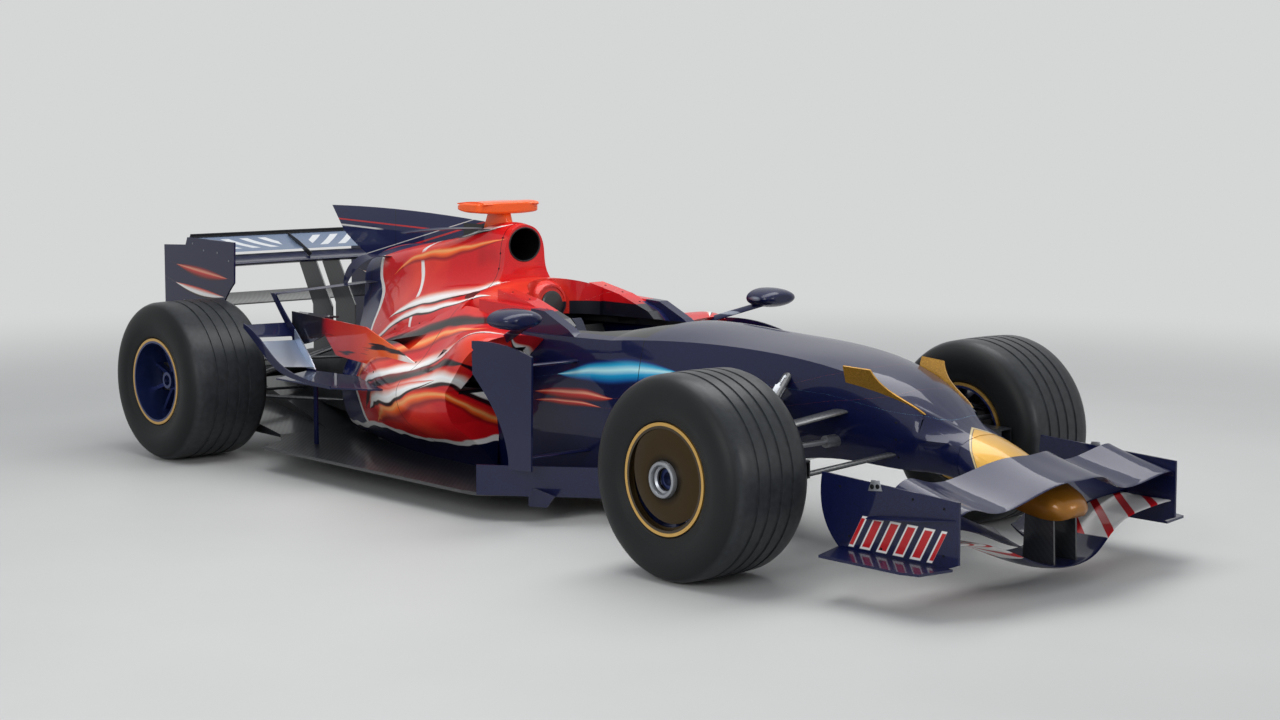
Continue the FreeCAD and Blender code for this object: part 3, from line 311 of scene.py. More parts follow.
# %% [markdown]
# ## The blue hull
# The tub, nose, boards and mirrors are dark blue all over, with a satin gold nose tip whose underside is
# painted darker bronze as painted shade, and a bright swept light along the cockpit's side that turns from
# white through cyan to blue. A thin joint line crosses the tub. The inside of the cockpit isn't sprayed blue.

# %% Hull paint
gold_start = front_x + 0.788
glow = [(0.0, "#0a113000"), (0.14, "#124a8cff"), (0.36, "#1b9fd0ff"), (0.55, "#bff0f6ff"),
        (0.72, "#2aa9d4ff"), (0.88, "#0d2a6cff"), (1.0, "#0a113000")]
ember = [(0.0, "#0a113000"), (0.2, "#5a0c10ff"), (0.5, "#d2312aff"), (0.62, "#f2a486ff"),
         (0.8, "#a01a1cff"), (1.0, "#0a113000")]

tree, skin, place, base = sprayed("hull_base_coat_blue", navy, deep_navy)
x, y, z, wide = split(tree, place)
height = mixed(tree, (grain(tree, place, 260, 1.0), 0.028), plus=z)
swept = base
for row in ((0.80, 0.572, -0.03, -0.10, 0.050, 0.60, glow), (0.50, 0.462, -0.08, 0.10, 0.030, 0.42, ember),
            (0.44, 0.425, -0.05, 0.06, 0.016, 0.36, ember)):
    swept = stroke(tree, x, height, swept, *row)
base = joint_line(tree, x, (0.610,), blend(tree, below(tree, wide, 0.40), base, swept))
run = mixed(tree, (x, 1.0), (wide, -0.45), (z, 0.6))
tip = above(tree, run, gold_start)
rim = between(tree, run, gold_start - 0.008, gold_start - 0.002, 0.001)
# The lower side of the gold tip turns darker bronze: painted shade on its underside.
bronze = above(tree, mixed(tree, (x, 0.55), (z, -1.0)), 0.872, 0.03)
stalk = all_of(tree, between(tree, wide, 0.325, 0.551), above(tree, z, 0.665), below(tree, x, 0.42))
shoulder = all_of(tree, below(tree, x, 0.020), above(tree, z, 0.655), above(tree, wide, 0.2665))
cockpit = all_of(tree, below(tree, wide, 0.266), between(tree, z, 0.13, 0.70, 0.001), below(tree, x, 0.60))
base = layers(tree, base, (rim, "#c9b68a"), (tip, blend(tree, bronze, "#d6a548", "#94601a")),
              (stalk, "#8c93a0"), (shoulder, "#d2131b"), (cockpit, "#0b0c0f"))
link(tree, skin, Base_Color=base, Metallic=mixed(tree, (tip, 0.30), plus=0.1))

# %% [markdown]
# ## The red cover
# The engine cover, side pods and cockpit surround are sprayed by hand: a red that runs from crimson to
# orange, crossed by long tapered strokes of white, orange and black that sweep back and down. Each stroke
# follows a curve over the car's length, and reads a height that falls towards the sides, so it runs over
# the top of a pod without a break. This layout is the lesson's own.

# %% Cover paint
white_ink = [(0.0, "#16060800"), (0.08, "#170508ff"), (0.20, "#2a0a10ff"), (0.26, "#f6f2eeff"),
             (0.50, "#ffffffff"), (0.66, "#f3cfc6ff"), (0.84, "#e8604aff"), (1.0, "#d8161d00")]
orange_ink = [(0.0, "#7d0a1200"), (0.20, "#9c0d14ff"), (0.40, "#ff6a26ff"), (0.55, "#ffb169ff"),
              (0.72, "#f0401fff"), (1.0, "#d8161d00")]
black_ink = [(0.0, "#2a060a00"), (0.20, "#14060aff"), (0.6, "#0c0710ff"), (0.8, "#5a0c12ff"),
             (1.0, "#c8161d00")]
# Where a stroke starts, its height there, its slope, its bend, its width, how far back it reaches, and its
# ink.
cover_strokes = [
    (0.02, 0.640, -0.20, -0.10, 0.050, 1.25, black_ink),
    (0.14, 0.500, -0.26, -0.02, 0.050, 1.05, white_ink),
    (-0.10, 0.560, -0.22, -0.16, 0.050, 1.05, orange_ink),
    (-0.34, 0.800, -0.34, -0.05, 0.052, 0.62, white_ink),
    (-0.40, 0.985, -0.22, -0.12, 0.034, 0.66, orange_ink),
    (-0.42, 1.055, -0.20, -0.05, 0.024, 0.50, white_ink),
    (-0.30, 0.700, -0.16, -0.20, 0.034, 0.80, white_ink),
    (0.06, 0.360, -0.10, -0.12, 0.042, 1.00, black_ink),
    (0.15, 0.330, -0.20, 0.03, 0.054, 0.95, white_ink),
    (0.05, 0.215, -0.06, -0.08, 0.044, 0.90, orange_ink),
    (-0.16, 0.255, -0.12, -0.06, 0.040, 0.70, white_ink),
]
white_line, red_line, grey_line = "#f4f1ee", "#d31c22", "#e9e6e4"

tree, skin, place, base = sprayed("cover_base_coat_red", "#dc141c", "#cb0f18", Metallic=0.05)
x, y, z, wide = split(tree, place)
wobble = grain(tree, place, 330, 2.0)
height = mixed(tree, (wide, -0.42), (z, 1.0), (wobble, 0.11))
cloud = grain(tree, place, 420, 3.0)
front = mixed(tree, (x, 1.0), (z, 0.35), (wobble, 0.22))
seam = all_of(tree, between(tree, front, -0.452, -0.430, 0.002), above(tree, z, 0.60))
base = layers(tree, base, (above(tree, cloud, 0.60, 0.10), "#f4482a"),
              (below(tree, cloud, 0.32, 0.08), "#8e0b14"), (seam, white_line))
for row in cover_strokes:
    base = stroke(tree, x, height, base, *row)

# %% [markdown]
# The back of the cover and the fin on it are blue, with a white line round them, and so is the foot of the
# pods. What lies inside the inlets isn't sprayed, so it stays dark. A dark oval on each side of the cover is
# painted shade, which stands for the opening of a vent slot that the solid doesn't have.

# %% Blue fields
back = mixed(tree, (x, 1.0), (z, 0.25), (wobble, 0.20))
crest = mixed(tree, (z, 1.0), (x, -0.24))
brow = mixed(tree, (z, 1.0), (x, 0.0225))
foot = mixed(tree, (z, 1.0), (wobble, 0.16), (x, -0.05))
fin = all_of(tree, above(tree, crest, 1.1336), below(tree, x, -0.60))
base = layers(
    tree, base, (between(tree, back, -0.862, -0.836, 0.002), white_line), (below(tree, back, -0.860), navy),
    (fin, navy), (all_of(tree, fin, between(tree, crest, 1.160, 1.167, 0.001)), red_line),
    (all_of(tree, fin, between(tree, crest, 1.186, 1.189, 0.001)), grey_line),
    (all_of(tree, fin, between(tree, brow, 0.939, 0.945, 0.001), below(tree, x, -0.93, 0.03)), red_line),
    (all_of(tree, fin, between(tree, brow, 0.914, 0.921, 0.001), below(tree, x, -1.36, 0.03)), grey_line),
    (between(tree, foot, 0.292, 0.318, 0.003), white_line), (below(tree, foot, 0.296), deep_navy))

# %% Dark inlets and the cockpit surround
airbox_z, inlet_half_width, inlet_half_height = 0.932, 0.0795, 0.068
throat = away_from(tree, place, (0, 0, airbox_z), (0, 1 / inlet_half_width, 1 / inlet_half_height))
airbox = all_of(tree, below(tree, throat, 1.0, 0.004), between(tree, x, -0.78, -0.392))
pod_inlet = all_of(tree, above(tree, wide, 0.386), above(tree, z, 0.416), between(tree, x, -0.30, 0.20),
                   below(tree, mixed(tree, (wide, 1.0), (x, -0.128), (z, 0.2)), 0.653),
                   below(tree, mixed(tree, (z, 1.0), (x, -0.0957)), 0.590))
faces = add(tree, "SeparateXYZ", (add(tree, "TexCoord")["Normal"],))
outward = mixed(tree, (y, faces["Y"]), (mixed(tree, (z, 1.0), plus=-0.70), faces["Z"]))
lining = all_of(tree, below(tree, outward, -0.004, 0.002), below(tree, x, -0.95))
# The slot: a dark oval painted as the shade inside a vent opening that the solid doesn't have.
slot = away_from(tree, place, (-0.446, 0, 0.742), (1 / 0.034, 0, 1 / 0.0125))
slot = all_of(tree, below(tree, slot, 1.0, 0.03), between(tree, wide, 0.15, 0.30))
surround = all_of(tree, above(tree, x, 0.020), below(tree, wide, 0.285), above(tree, z, 0.640),
                  above(tree, wide, 0.246))
pad = all_of(tree, above(tree, x, -0.240), below(tree, wide, 0.246), below(tree, z, 0.715))
base = layers(tree, base, (any_of(tree, airbox, pod_inlet, lining, slot), "#0a0a0c"), (surround, navy),
              (pad, "#11131f"))
link(tree, skin, Base_Color=joint_line(tree, x, (-0.425, -1.245), base))

# %% [markdown]
# ## Bare carbon
# Parts that nobody paints show the woven fibre under resin: a two by two twill whose tows are 2 mm wide,
# drawn here at 4 to 6 mm so that they show. The weave is a change of sheen more than of colour, so it goes
# into the roughness too.

# %% Bare carbon
def twill(tree, place, millimetres):
    """A mask of a two by two twill whose tows are this wide."""
    x, y, z, wide = split(tree, place)
    tows = []
    for line in (x, mixed(tree, (y, 1.0), plus=z)):
        count = mixed(tree, (line, 1000 / millimetres))
        tows.append(add(tree, "Math", (count,), operation="FLOOR")[0])
    step = mixed(tree, (tows[0], 1.0), plus=tows[1])
    step = add(tree, "Math", (step, 4.0), operation="FLOORED_MODULO")[0]
    return add(tree, "Math", (step, 1.5), operation="LESS_THAN")[0]


for name, light, dark, rough, tow in (("carbon_twill_resin", "#2a2c30", "#222428", 0.30, 6),
                                      ("carbon_satin_arm", "#3b3e43", "#2b2d31", 0.38, 5),
                                      ("carbon_matt_inner", "#1b1c1f", "#101113", 0.50, 4)):
    tree, skin, place = finish(name, Specular_IOR_Level=0.5, Coat_Weight=0.5, Coat_Roughness=0.12)
    weave = twill(tree, place, tow)
    worn = above(tree, grain(tree, place, 160, 4.0), 0.675, 0.225)
    link(tree, skin, Base_Color=layers(tree, dark, (weave, light), (worn, light)),
         Roughness=mixed(tree, (weave, 0.06), plus=rough))
    relief(tree, skin, weave, 0.008)

# %% [markdown]
# ## Metals
# The wheel rims are forged magnesium with a dark blue coat and a gold-coloured lip. The front covers are
# turned discs: their fine marks run in circles round the axle, so the pattern reads the distance from it.
# Each axle has its own material, because the distance is measured from its own centre. Castings and blasted
# parts have a skin of fine pits instead. The nose fins and the camera's housing are sprayed.

# %% Metals
def from_axle(tree, place, end):
    """The distance from a wheel's axle."""
    return away_from(tree, place, (axles[end], 0, axle_z), (1, 0, 1))


def turned(tree, skin, distance, millimetres, depth):
    """Fine circular marks from a lathe."""
    rings = add(tree, "CombineXYZ", (mixed(tree, (distance, 1000 / millimetres)), 0.0, 0.0))["Vector"]
    marks = grain(tree, rings, 1000, 3.0)
    relief(tree, skin, marks, depth)
    return marks


def mottled(name, light, dark, millimetres, detail=2.0, **constants):
    """A finish that wanders between two tones, in lumps of this size. Returns its parts and the lumps."""
    tree, skin, place = finish(name, **constants)
    lumps = grain(tree, place, millimetres, detail)
    link(tree, skin, Base_Color=blend(tree, lumps, dark, light))
    return tree, skin, place, lumps


for end in axles:
    tree, skin, place = finish(f"rim_forged_coated_{end}", Metallic=0.65, Roughness=0.30, Coat_Weight=0.5,
                               Coat_Roughness=0.08)
    distance = from_axle(tree, place, end)
    body = blend(tree, turned(tree, skin, distance, 1.5, 0.03), "#1a2550", "#33427a")
    if end == "front":
        flange = all_of(tree, above(tree, split(tree, place)[3], 0.859), above(tree, distance, 0.1575))
        body = blend(tree, flange, body, "#3a2e1c")
    link(tree, skin, Base_Color=blend(tree, above(tree, distance, 0.1685, 0.0004), body, "#d0a454"))

tree, skin, place = finish("cover_turned_bronze", Metallic=0.85, Roughness=0.34)
distance = from_axle(tree, place, "front")
marks = turned(tree, skin, distance, 1.2, 0.05)
link(tree, skin, Base_Color=layers(tree, "#2c2316", (marks, "#4d3d24"),
                                   (below(tree, distance, 0.0725, 0.0125), "#1d1710")))

for name, light, dark, rough, lump in (("aluminium_machined", "#a9acb1", "#8b8e94", 0.40, 3),
                                       ("magnesium_cast", "#5b5d60", "#434548", 0.55, 6),
                                       ("titanium_upright", "#77746d", "#5b5953", 0.42, 4),
                                       ("steel_black_oxide", "#2b2c2e", "#1c1d1f", 0.40, 3)):
    tree, skin, place, pits = mottled(name, light, dark, lump, 4.0, Metallic=0.9)
    link(tree, skin, Roughness=mixed(tree, (grain(tree, place, 70, 3.0), 0.25), plus=rough - 0.1))
    relief(tree, skin, pits, 0.12)

for name, light, dark, metal in (("gold_paint_satin", "#d9a845", "#a8762a", 0.75),
                                 ("orange_gloss_paint", "#ff6a1a", "#f2550c", 0.0)):
    tree, skin, place, base = sprayed(name, light, dark, Metallic=metal)
    link(tree, skin, Base_Color=base)

# %% [markdown]
# ## Wings and fins
# The wings share the hull's dark blue. The front wing carries pale panels crossed by red bars, the rear
# wing's top element is pale blue-grey, and the plates at the ends have slanted bars in the same red and
# white.

# %% Wing paints
bar_red = "#c3171f"
tree, skin, place, base = sprayed("wing_base_coat_blue", navy, deep_navy)
link(tree, skin, Base_Color=base)

tree, skin, place, base = sprayed("wing_panel_paint", navy, deep_navy)
x, y, z, wide = split(tree, place)
bars = stripes(tree, mixed(tree, (x, 0.9), plus=wide), 0.115, 0.040, 0.075)
panel = between(tree, wide, 0.215, 0.560, 0.002)
link(tree, skin, Base_Color=blend(tree, panel, base, blend(tree, bars, "#e9e7e6", bar_red)))

tree, skin, place, base = sprayed("plate_paint_front", navy, deep_navy)
x, y, z, wide = split(tree, place)
lean = mixed(tree, (z, -0.55), plus=x)
on_plate = all_of(tree, between(tree, lean, 1.745, 2.075, 0.001), above(tree, wide, 0.5500))
for low, high, bottom, top, tint in ((0.008, 0.050, 0.150, 0.252, "#efecea"),
                                     (0.014, 0.044, 0.157, 0.245, bar_red)):
    bar = all_of(tree, stripes(tree, lean, 0.066, low, high), between(tree, z, bottom, top, 0.001), on_plate)
    base = blend(tree, bar, base, tint)
link(tree, skin, Base_Color=base)

tree, skin, place, base = sprayed("plate_paint_rear", navy, deep_navy)
x, y, z, wide = split(tree, place)
base = stroke(tree, x, z, base, -1.77, 0.735, 0.02, 0.18, 0.030, 0.42, ember)
link(tree, skin, Base_Color=stroke(tree, x, z, base, -1.80, 0.655, -0.02, 0.30, 0.022, 0.40, white_ink))

# %% Paints of the rear flap, the pod fins and the winglets
tree, skin, place, base = sprayed("flap_paint_pale", "#8494b0", "#75859f", Metallic=0.35)
x, y, z, wide = split(tree, place)
ticks = all_of(tree, stripes(tree, mixed(tree, (x, 1.3), plus=wide), 0.095, 0.010, 0.052),
               between(tree, wide, 0.08, 0.43), between(tree, x, -2.062, -1.976))
link(tree, skin, Base_Color=blend(tree, ticks, base, "#eef1f4"))

tree, skin, place, base = sprayed("fin_paint_fade", "#e2341c", "#c91f1a", Metallic=0.1)
run = mixed(tree, (grain(tree, place, 240, 3.0), 0.35), plus=split(tree, place)[0])
fade = add(tree, "ValToRGB", {"Fac": above(tree, run, -0.73, 0.43)},
           [(0.0, "#0b1026"), (0.24, "#1a0d18"), (0.32, "#b5121a"), (0.62, "#e8401f"), (0.86, "#ff7a26"),
            (0.93, "#f6f2ee"), (1.0, "#f6f2ee")])["Color"]
drawn_out = add(tree, "Mapping", {"Vector": place, "Scale": (3, 3, 26)})["Vector"]
streaks = above(tree, grain(tree, drawn_out, 1000, 2.0), 0.62, 0.02)
link(tree, skin, Base_Color=blend(tree, streaks, fade, "#241019"))

tree, skin, place, base = sprayed("winglet_paint_split", navy, deep_navy)
x, y, z, wide = split(tree, place)
sharp = 0.00001
blade = all_of(tree, below(tree, wide, 0.6925, sharp), between(tree, z, 0.3985, 0.63, sharp),
               above(tree, mixed(tree, (x, 1.0), (wide, -0.36)), -1.504))
silver = add(tree, "ValToRGB", {"Fac": above(tree, x, -1.225, 0.135)},
             [(0.0, "#8f9db6"), (0.5, "#b9c3d2"), (1.0, "#e3e7ec")])["Color"]
link(tree, skin, Base_Color=blend(tree, blade, base, silver), Metallic=mixed(tree, (blade, 0.5), plus=0.15))

# %% [markdown]
# ## Rubber, wood and the rain light
# A tyre is carbon black rubber from a mould. The tread is paler than the sidewall, partly from scrubbed wear
# and partly as a painted sheen, and it shines a little, and the wall keeps the mould's matt skin, with fine
# rings next to the rim. The plank under the floor is beech laminate, whose grain runs along the car. The rain
# light's red lens is moulded in small square cells.

# %% Tyre rubber
def waves(tree, along, millimetres):
    """Ribs that come back at this pitch."""
    return add(tree, "Math", (mixed(tree, (along, 1000 / millimetres * math.tau)),), operation="SINE")[0]


tread_edge, edge_soft = 0.317, 0.005
for end in axles:
    tree, skin, place = finish(f"tyre_rubber_{end}", Specular_IOR_Level=0.26)
    distance = from_axle(tree, place, end)
    tread = above(tree, distance, tread_edge, edge_soft)
    # The tread's paler grey is partly scrubbed wear and partly painted sheen.
    worn = blend(tree, grain(tree, place, 22, 5.0), "#1f2123", "#393c40")
    wall = blend(tree, grain(tree, place, 120, 3.0), "#101112", "#191b1d")
    link(tree, skin, Base_Color=blend(tree, tread, wall, worn),
         Roughness=mixed(tree, (tread, -0.14), plus=0.50))
    rings = all_of(tree, waves(tree, distance, 4), below(tree, distance, tread_edge, edge_soft),
                   below(tree, distance, 0.214, 0.002))
    relief(tree, skin, mixed(tree, (grain(tree, place, 2.5, 3.0), 0.6), plus=rings), 0.25)

tree, skin, place, pebble = mottled("rubber_moulded_grip", "#26272a", "#161617", 3, Roughness=0.62,
                                    Specular_IOR_Level=0.3)
relief(tree, skin, pebble, 0.2)

# %% Wood and lens
tree, skin, place = finish("beech_laminate", Specular_IOR_Level=0.4)
stretched = add(tree, "Mapping", {"Vector": place, "Scale": (4, 60, 60)})["Vector"]
fibres = add(tree, "TexNoise", {"Vector": stretched, "Scale": 2.0, "Detail": 6.0, "Distortion": 0.6})["Fac"]
link(tree, skin, Base_Color=blend(tree, fibres, "#8a6238", "#c39a63"),
     Roughness=mixed(tree, (fibres, 0.3), plus=0.4))
relief(tree, skin, fibres, 0.3)

tree, skin, place = finish("lens_moulded_red", Roughness=0.12, Coat_Weight=0.6)
x, y, z, wide = split(tree, place)
cells = all_of(tree, *[stripes(tree, line, 0.011, 0.0015, 0.0095, 0.0006) for line in (y, z)])
link(tree, skin, Base_Color=blend(tree, cells, "#3a0508", "#b3141c"))
relief(tree, skin, cells, 0.5)

# %% [markdown]
# ## A finish for every solid
# Each solid keeps its mesh, and only its material changes.

# %% Dress the solids
sides = ("right", "left")


def both(stem):
    """The names of a pair's right and left piece."""
    return [f"{stem}_{side}" for side in sides]


worn_by = {
    "hull_base_coat_blue": ["monocoque", "nose_cone", "bargeboards", "mirrors"],
    "cover_base_coat_red": ["engine_cover", "sidepods", "headrest"],
    "fin_paint_fade": ["pod_fins"],
    "winglet_paint_split": ["flip_ups"],
    "gold_paint_satin": ["nose_fins"],
    "wing_base_coat_blue": ["front_wing_flaps", "front_wing_upper_plane", "rear_wing_main_plane",
                            "cover_tail_blades", "airbox_horns"],
    "wing_panel_paint": ["front_wing_main_plane"],
    "plate_paint_front": ["front_wing_endplates"],
    "plate_paint_rear": ["rear_wing_endplates"],
    "flap_paint_pale": ["rear_wing_flap"],
    "orange_gloss_paint": ["camera_pod"],
    "carbon_twill_resin": ["floor", "diffuser", "nose_pylons", "beam_wing", "rear_wing_pylons",
                           "crash_structure", *both("brake_duct_front")],
    "carbon_satin_arm": ["front_suspension", "rear_suspension"],
    "carbon_matt_inner": ["seat", "steering_wheel"],
    "beech_laminate": ["plank"],
    "magnesium_cast": ["engine_block", "gearbox"],
    "titanium_upright": ["rear_uprights", *both("front_upright")],
    "steel_black_oxide": both("hub_front") + both("hub_rear"),
    "aluminium_machined": ["steering_rack"],
    "rim_forged_coated_front": both("rim_front"),
    "rim_forged_coated_rear": both("rim_rear"),
    "cover_turned_bronze": both("wheel_cover_front"),
    "tyre_rubber_front": both("tyre_front"),
    "tyre_rubber_rear": both("tyre_rear"),
    "lens_moulded_red": ["rain_light"],
}
for look, members in worn_by.items():
    for member in members:
        for slot in nodes[member].material_slots:
            slot.material = materials[look]
dressed = {member for members in worn_by.values() for member in members}
print("dressed:", len(dressed), "left out:", sorted(set(nodes) - dressed))

# %% [markdown]
# ## Modelling by hand, in code
# Every small piece starts as a primitive at its own place and is shaped in edit mode. An operator acts on
# all that is selected, so a helper first selects one piece alone. At the end a piece's place goes into its
# mesh, because the materials read the mesh's own coordinates. What stands on both sides is modelled on the
# right and mirrored.

# %% Helpers for modelling
mirror = Matrix.Scale(-1, 4, (0, 1, 0))


def alone(piece=None):
    """Leaves edit mode and selects one piece and nothing else, or nothing at all."""
    if bpy.context.mode != "OBJECT":
        bpy.ops.object.mode_set(mode="OBJECT")
    bpy.ops.object.select_all(action="DESELECT")
    if piece:
        piece.select_set(True)
        bpy.context.view_layer.objects.active = piece


def open_up(piece):
    """Goes into edit mode on one piece with all of its mesh selected."""
    alone(piece)
    bpy.ops.object.mode_set(mode="EDIT")
    bpy.ops.mesh.select_all(action="SELECT")


def pick(piece, test, kind="faces"):
    """In edit mode, selects only the faces, edges or points that pass a test."""
    bpy.ops.mesh.select_all(action="DESELECT")
    shape = bmesh.from_edit_mesh(piece.data)
    for part in getattr(shape, kind):
        if test(part):
            part.select_set(True)
    bmesh.update_edit_mesh(piece.data)


def upper(face):
    """Tells whether a face looks up +Z."""
    return face.normal.z > 0.9


def outwards():
    """In edit mode, turns all faces of the mesh outwards and leaves them selected."""
    bpy.ops.mesh.select_all(action="SELECT")
    bpy.ops.mesh.normals_make_consistent(inside=False)


def push(way):
    """In edit mode, extrudes what is selected."""
    bpy.ops.mesh.extrude_region_move(TRANSFORM_OT_translate={"value": Vector(way)})


def start(kind, **settings):
    """Adds a primitive by itself and returns it with its turn and size put into the mesh."""
    alone()
    getattr(bpy.ops.mesh, f"primitive_{kind}_add")(**settings)
    bpy.ops.object.transform_apply(location=True, rotation=True, scale=True)
    return bpy.context.object


def stepped(kind, test, insets, **settings):
    """A primitive whose picked faces are inset step by step, each as (in, out). It stays in edit mode."""
    piece = start(kind, **settings)
    open_up(piece)
    pick(piece, test)
    for thickness, depth in insets:
        bpy.ops.mesh.inset(thickness=thickness, depth=depth)
    return piece


def apply(piece, kind, **settings):
    """Gives a piece a modifier with these settings and applies it."""
    alone(piece)
    change = piece.modifiers.new("change", kind)
    for key, value in settings.items():
        setattr(change, key, value)
    bpy.ops.object.modifier_apply(modifier=change.name)


def put(piece, matrix):
    """Leaves edit mode and moves a piece in its mesh."""
    alone(piece)
    piece.data.transform(matrix)


def copy_to(piece, matrix):
    """A copy with its own mesh, moved in the mesh. A mirrored copy gets its faces turned back outwards."""
    alone(piece)
    twin = piece.copy()
    twin.data = piece.data.copy()
    bpy.context.collection.objects.link(twin)
    twin.data.transform(matrix)
    if matrix.determinant() < 0:
        twin.data.flip_normals()
    return twin


def settle(piece, name, look, body, angle=30):
    """Gives a piece its name and finish, puts its place in its mesh, and lets it move with a body."""
    alone(piece)
    bpy.ops.object.transform_apply(location=True, rotation=True, scale=True)
    bpy.ops.object.shade_smooth_by_angle(angle=math.radians(angle))
    piece.name = name
    piece.data.name = name
    piece.data.materials.clear()
    piece.data.materials.append(materials[look])
    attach(piece, body)
    print("piece:", name, "size:", [round(length, 3) for length in piece.dimensions])


def pair(piece, stem, look, body="chassis", angle=30):
    """Settles a piece on the right and its mirror image on the left. A body's {} is filled with the side."""
    twin = copy_to(piece, mirror)
    for part, name, side in zip((piece, twin), both(stem), sides):
        settle(part, name, look, body.format(side), angle)
    return twin


def spun(outline, axle_x, steps=96):
    """Draws a closed outline of (radius, y) points by extruding a point, and spins it round an axle."""
    radius, y = outline[0]
    piece = start("plane", size=0.002, location=(axle_x, y, axle_z + radius))
    open_up(piece)
    bpy.ops.mesh.merge(type="CENTER")
    for (r0, y0), (r1, y1) in zip(outline, outline[1:] + outline[:1]):
        push((0, y1 - y0, r1 - r0))
    bpy.ops.mesh.select_all(action="SELECT")
    bpy.ops.mesh.spin(steps=steps, angle=math.tau, center=(axle_x, 0, axle_z), axis=(0, 1, 0))
    bpy.ops.mesh.select_all(action="SELECT")
    bpy.ops.mesh.remove_doubles(threshold=0.00003)
    outwards()
    return piece


# %% [markdown]
# ## Grooved tyres
# The rules of the car's years ask for four grooves round each tyre, at least 14 mm wide at the tread and 50
# mm apart. A tyre is the same all the way round, so its cut is drawn once, with the grooves in it, and
# spun.

# %% Tyres
groove_places = (0.075, 0.025, -0.025, -0.075)
groove_depth, groove_top, groove_foot = 0.0040, 0.0070, 0.0058
tread_radius, crown_drop = 0.3298, 0.0028


def tyre_outline(width, rim_width):
    """The cut through a hollow tyre, as (radius, distance from its middle)."""
    half, bead = width / 2, rim_width / 2 - 0.0093
    crown = 0.735 * half
    shoulder = 0.6 * crown + 0.03

    def tread(y, depth=0.0):
        return tread_radius - crown_drop * (y / crown) ** 2 - depth, y

    wall = [(0.1793, bead), (0.1850, bead + 0.0090), (0.1925, bead + 0.0125)]
    wall += [(radius, part * half) for radius, part in (
        (0.2120, 0.952), (0.2250, 0.976), (0.2400, 0.990), (0.2560, 0.9945), (0.2720, 0.989), (0.2860, 0.973),
        (0.2990, 0.943), (0.3095, 0.900), (0.3175, 0.850), (0.3230, 0.800))]
    cuts = [tread(crown), tread(shoulder)]
    for place in groove_places:
        cuts += [tread(place + groove_top), tread(place + groove_foot, groove_depth),
                 tread(place - groove_foot, groove_depth), tread(place - groove_top)]
    cuts += [tread(-shoulder), tread(-crown)]
    lining = [(0.1665, bead), (0.1665, bead - 0.013), (0.2400, half - 0.018), (0.2900, half - 0.022),
              (0.3140, crown - 0.010), (0.3150, 0.0)]
    lining = lining + [(r, -y) for r, y in lining[-2::-1]]
    return wall + cuts + [(r, -y) for r, y in wall[::-1]] + lining[::-1]


for end, track_y, width, rim_width in (("front", 0.720, 0.355, 0.322), ("rear", 0.705, 0.380, 0.346)):
    tyre = spun(tyre_outline(width, rim_width), axles[end], 128)
    put(tyre, Matrix.Translation((0, -track_y, 0)))
    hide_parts(f"tyre_{end}_right")
    twin = pair(tyre, f"grooved_tyre_{end}", f"tyre_rubber_{end}", f"wheel_{end}_{{}}", 40)
    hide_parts(f"tyre_{end}_left")
    print(end, "tyre:", len(tyre.data.polygons), "faces")

# %% [markdown]
# ## Wheel centres
# A race wheel is held by one nut. Round it, each front cover has a raised aluminium collar, and inside the
# nut are the axle's end and the red clip that keeps the nut from coming off. They are turned parts, so they
# are spun too.

# %% Collars
collar = spun([(0.0365, -0.8672), (0.0740, -0.8672), (0.0745, -0.8690), (0.0600, -0.8760), (0.0580, -0.8880),
               (0.0560, -0.8925), (0.0515, -0.8945), (0.0470, -0.8930), (0.0445, -0.8880), (0.0430, -0.8790),
               (0.0365, -0.8740)], front_x, 72)
pair(collar, "wheel_collar", "aluminium_machined", "wheel_front_{}")

# %% Axle ends and clips
mottled("anodised_red", "#d42430", "#a3101a", 2, 3.0, Metallic=0.85, Roughness=0.3)

for end, face in (("front", 0.819), ("rear", 0.782)):
    axle_x, body = axles[end], f"wheel_{end}_{{}}"
    steps = [(0.0003, -0.004), (0.0215, -0.004), (0.0215, 0.012), (0.0185, 0.015), (0.0150, 0.015),
             (0.0140, 0.009), (0.0075, 0.009), (0.0070, 0.021), (0.0050, 0.023), (0.0003, 0.023)]
    pin = spun([(radius, -face - out) for radius, out in steps], axle_x, 48)
    clip = start("cylinder", vertices=32, radius=0.0172, depth=0.004, rotation=degrees(90, 0, 0),
                 location=(axle_x, -face - 0.0172, axle_z))
    open_up(clip)
    for side in (-1, 1):
        pick(clip, lambda f: f.normal.y * side > 0.9)
        bpy.ops.mesh.inset(thickness=0.0058)
        bpy.ops.mesh.delete(type="FACE")
    pick(clip, lambda e: e.is_boundary, "edges")
    bpy.ops.mesh.bridge_edge_loops()
    pick(clip, lambda f: f.calc_center_median().x < axle_x - 0.002)
    bpy.ops.mesh.delete(type="FACE")
    pick(clip, lambda e: e.is_boundary, "edges")
    bpy.ops.mesh.edge_face_add()
    pair(pin, f"axle_end_{end}", "aluminium_machined", body)
    pair(clip, f"nut_clip_{end}", "anodised_red", body)
    print(end, "axle end at", round(axle_x, 3), -face)

# %% [markdown]
# ## Thin plates, straps and screws
# A plate is drawn as a flat outline, filled, and pushed to its thickness. A strap is a plate too: a thin
# outline seen from the side, pushed to its width. Screws are modelled once and copied to points found by
# casting a ray on a solid, which also gives the direction that each head has to face.

# %% Helpers for plates
def loop(points):
    """Draws a closed line through points, by extruding one point round it, and stays in edit mode."""
    points = [Vector(point) for point in points]
    piece = start("plane", size=0.002, location=points[0])
    open_up(piece)
    bpy.ops.mesh.merge(type="CENTER")
    for a, b in zip(points, points[1:] + points[:1]):
        push(b - a)
    bpy.ops.mesh.select_all(action="SELECT")
    bpy.ops.mesh.remove_doubles(threshold=0.00005)
    return piece


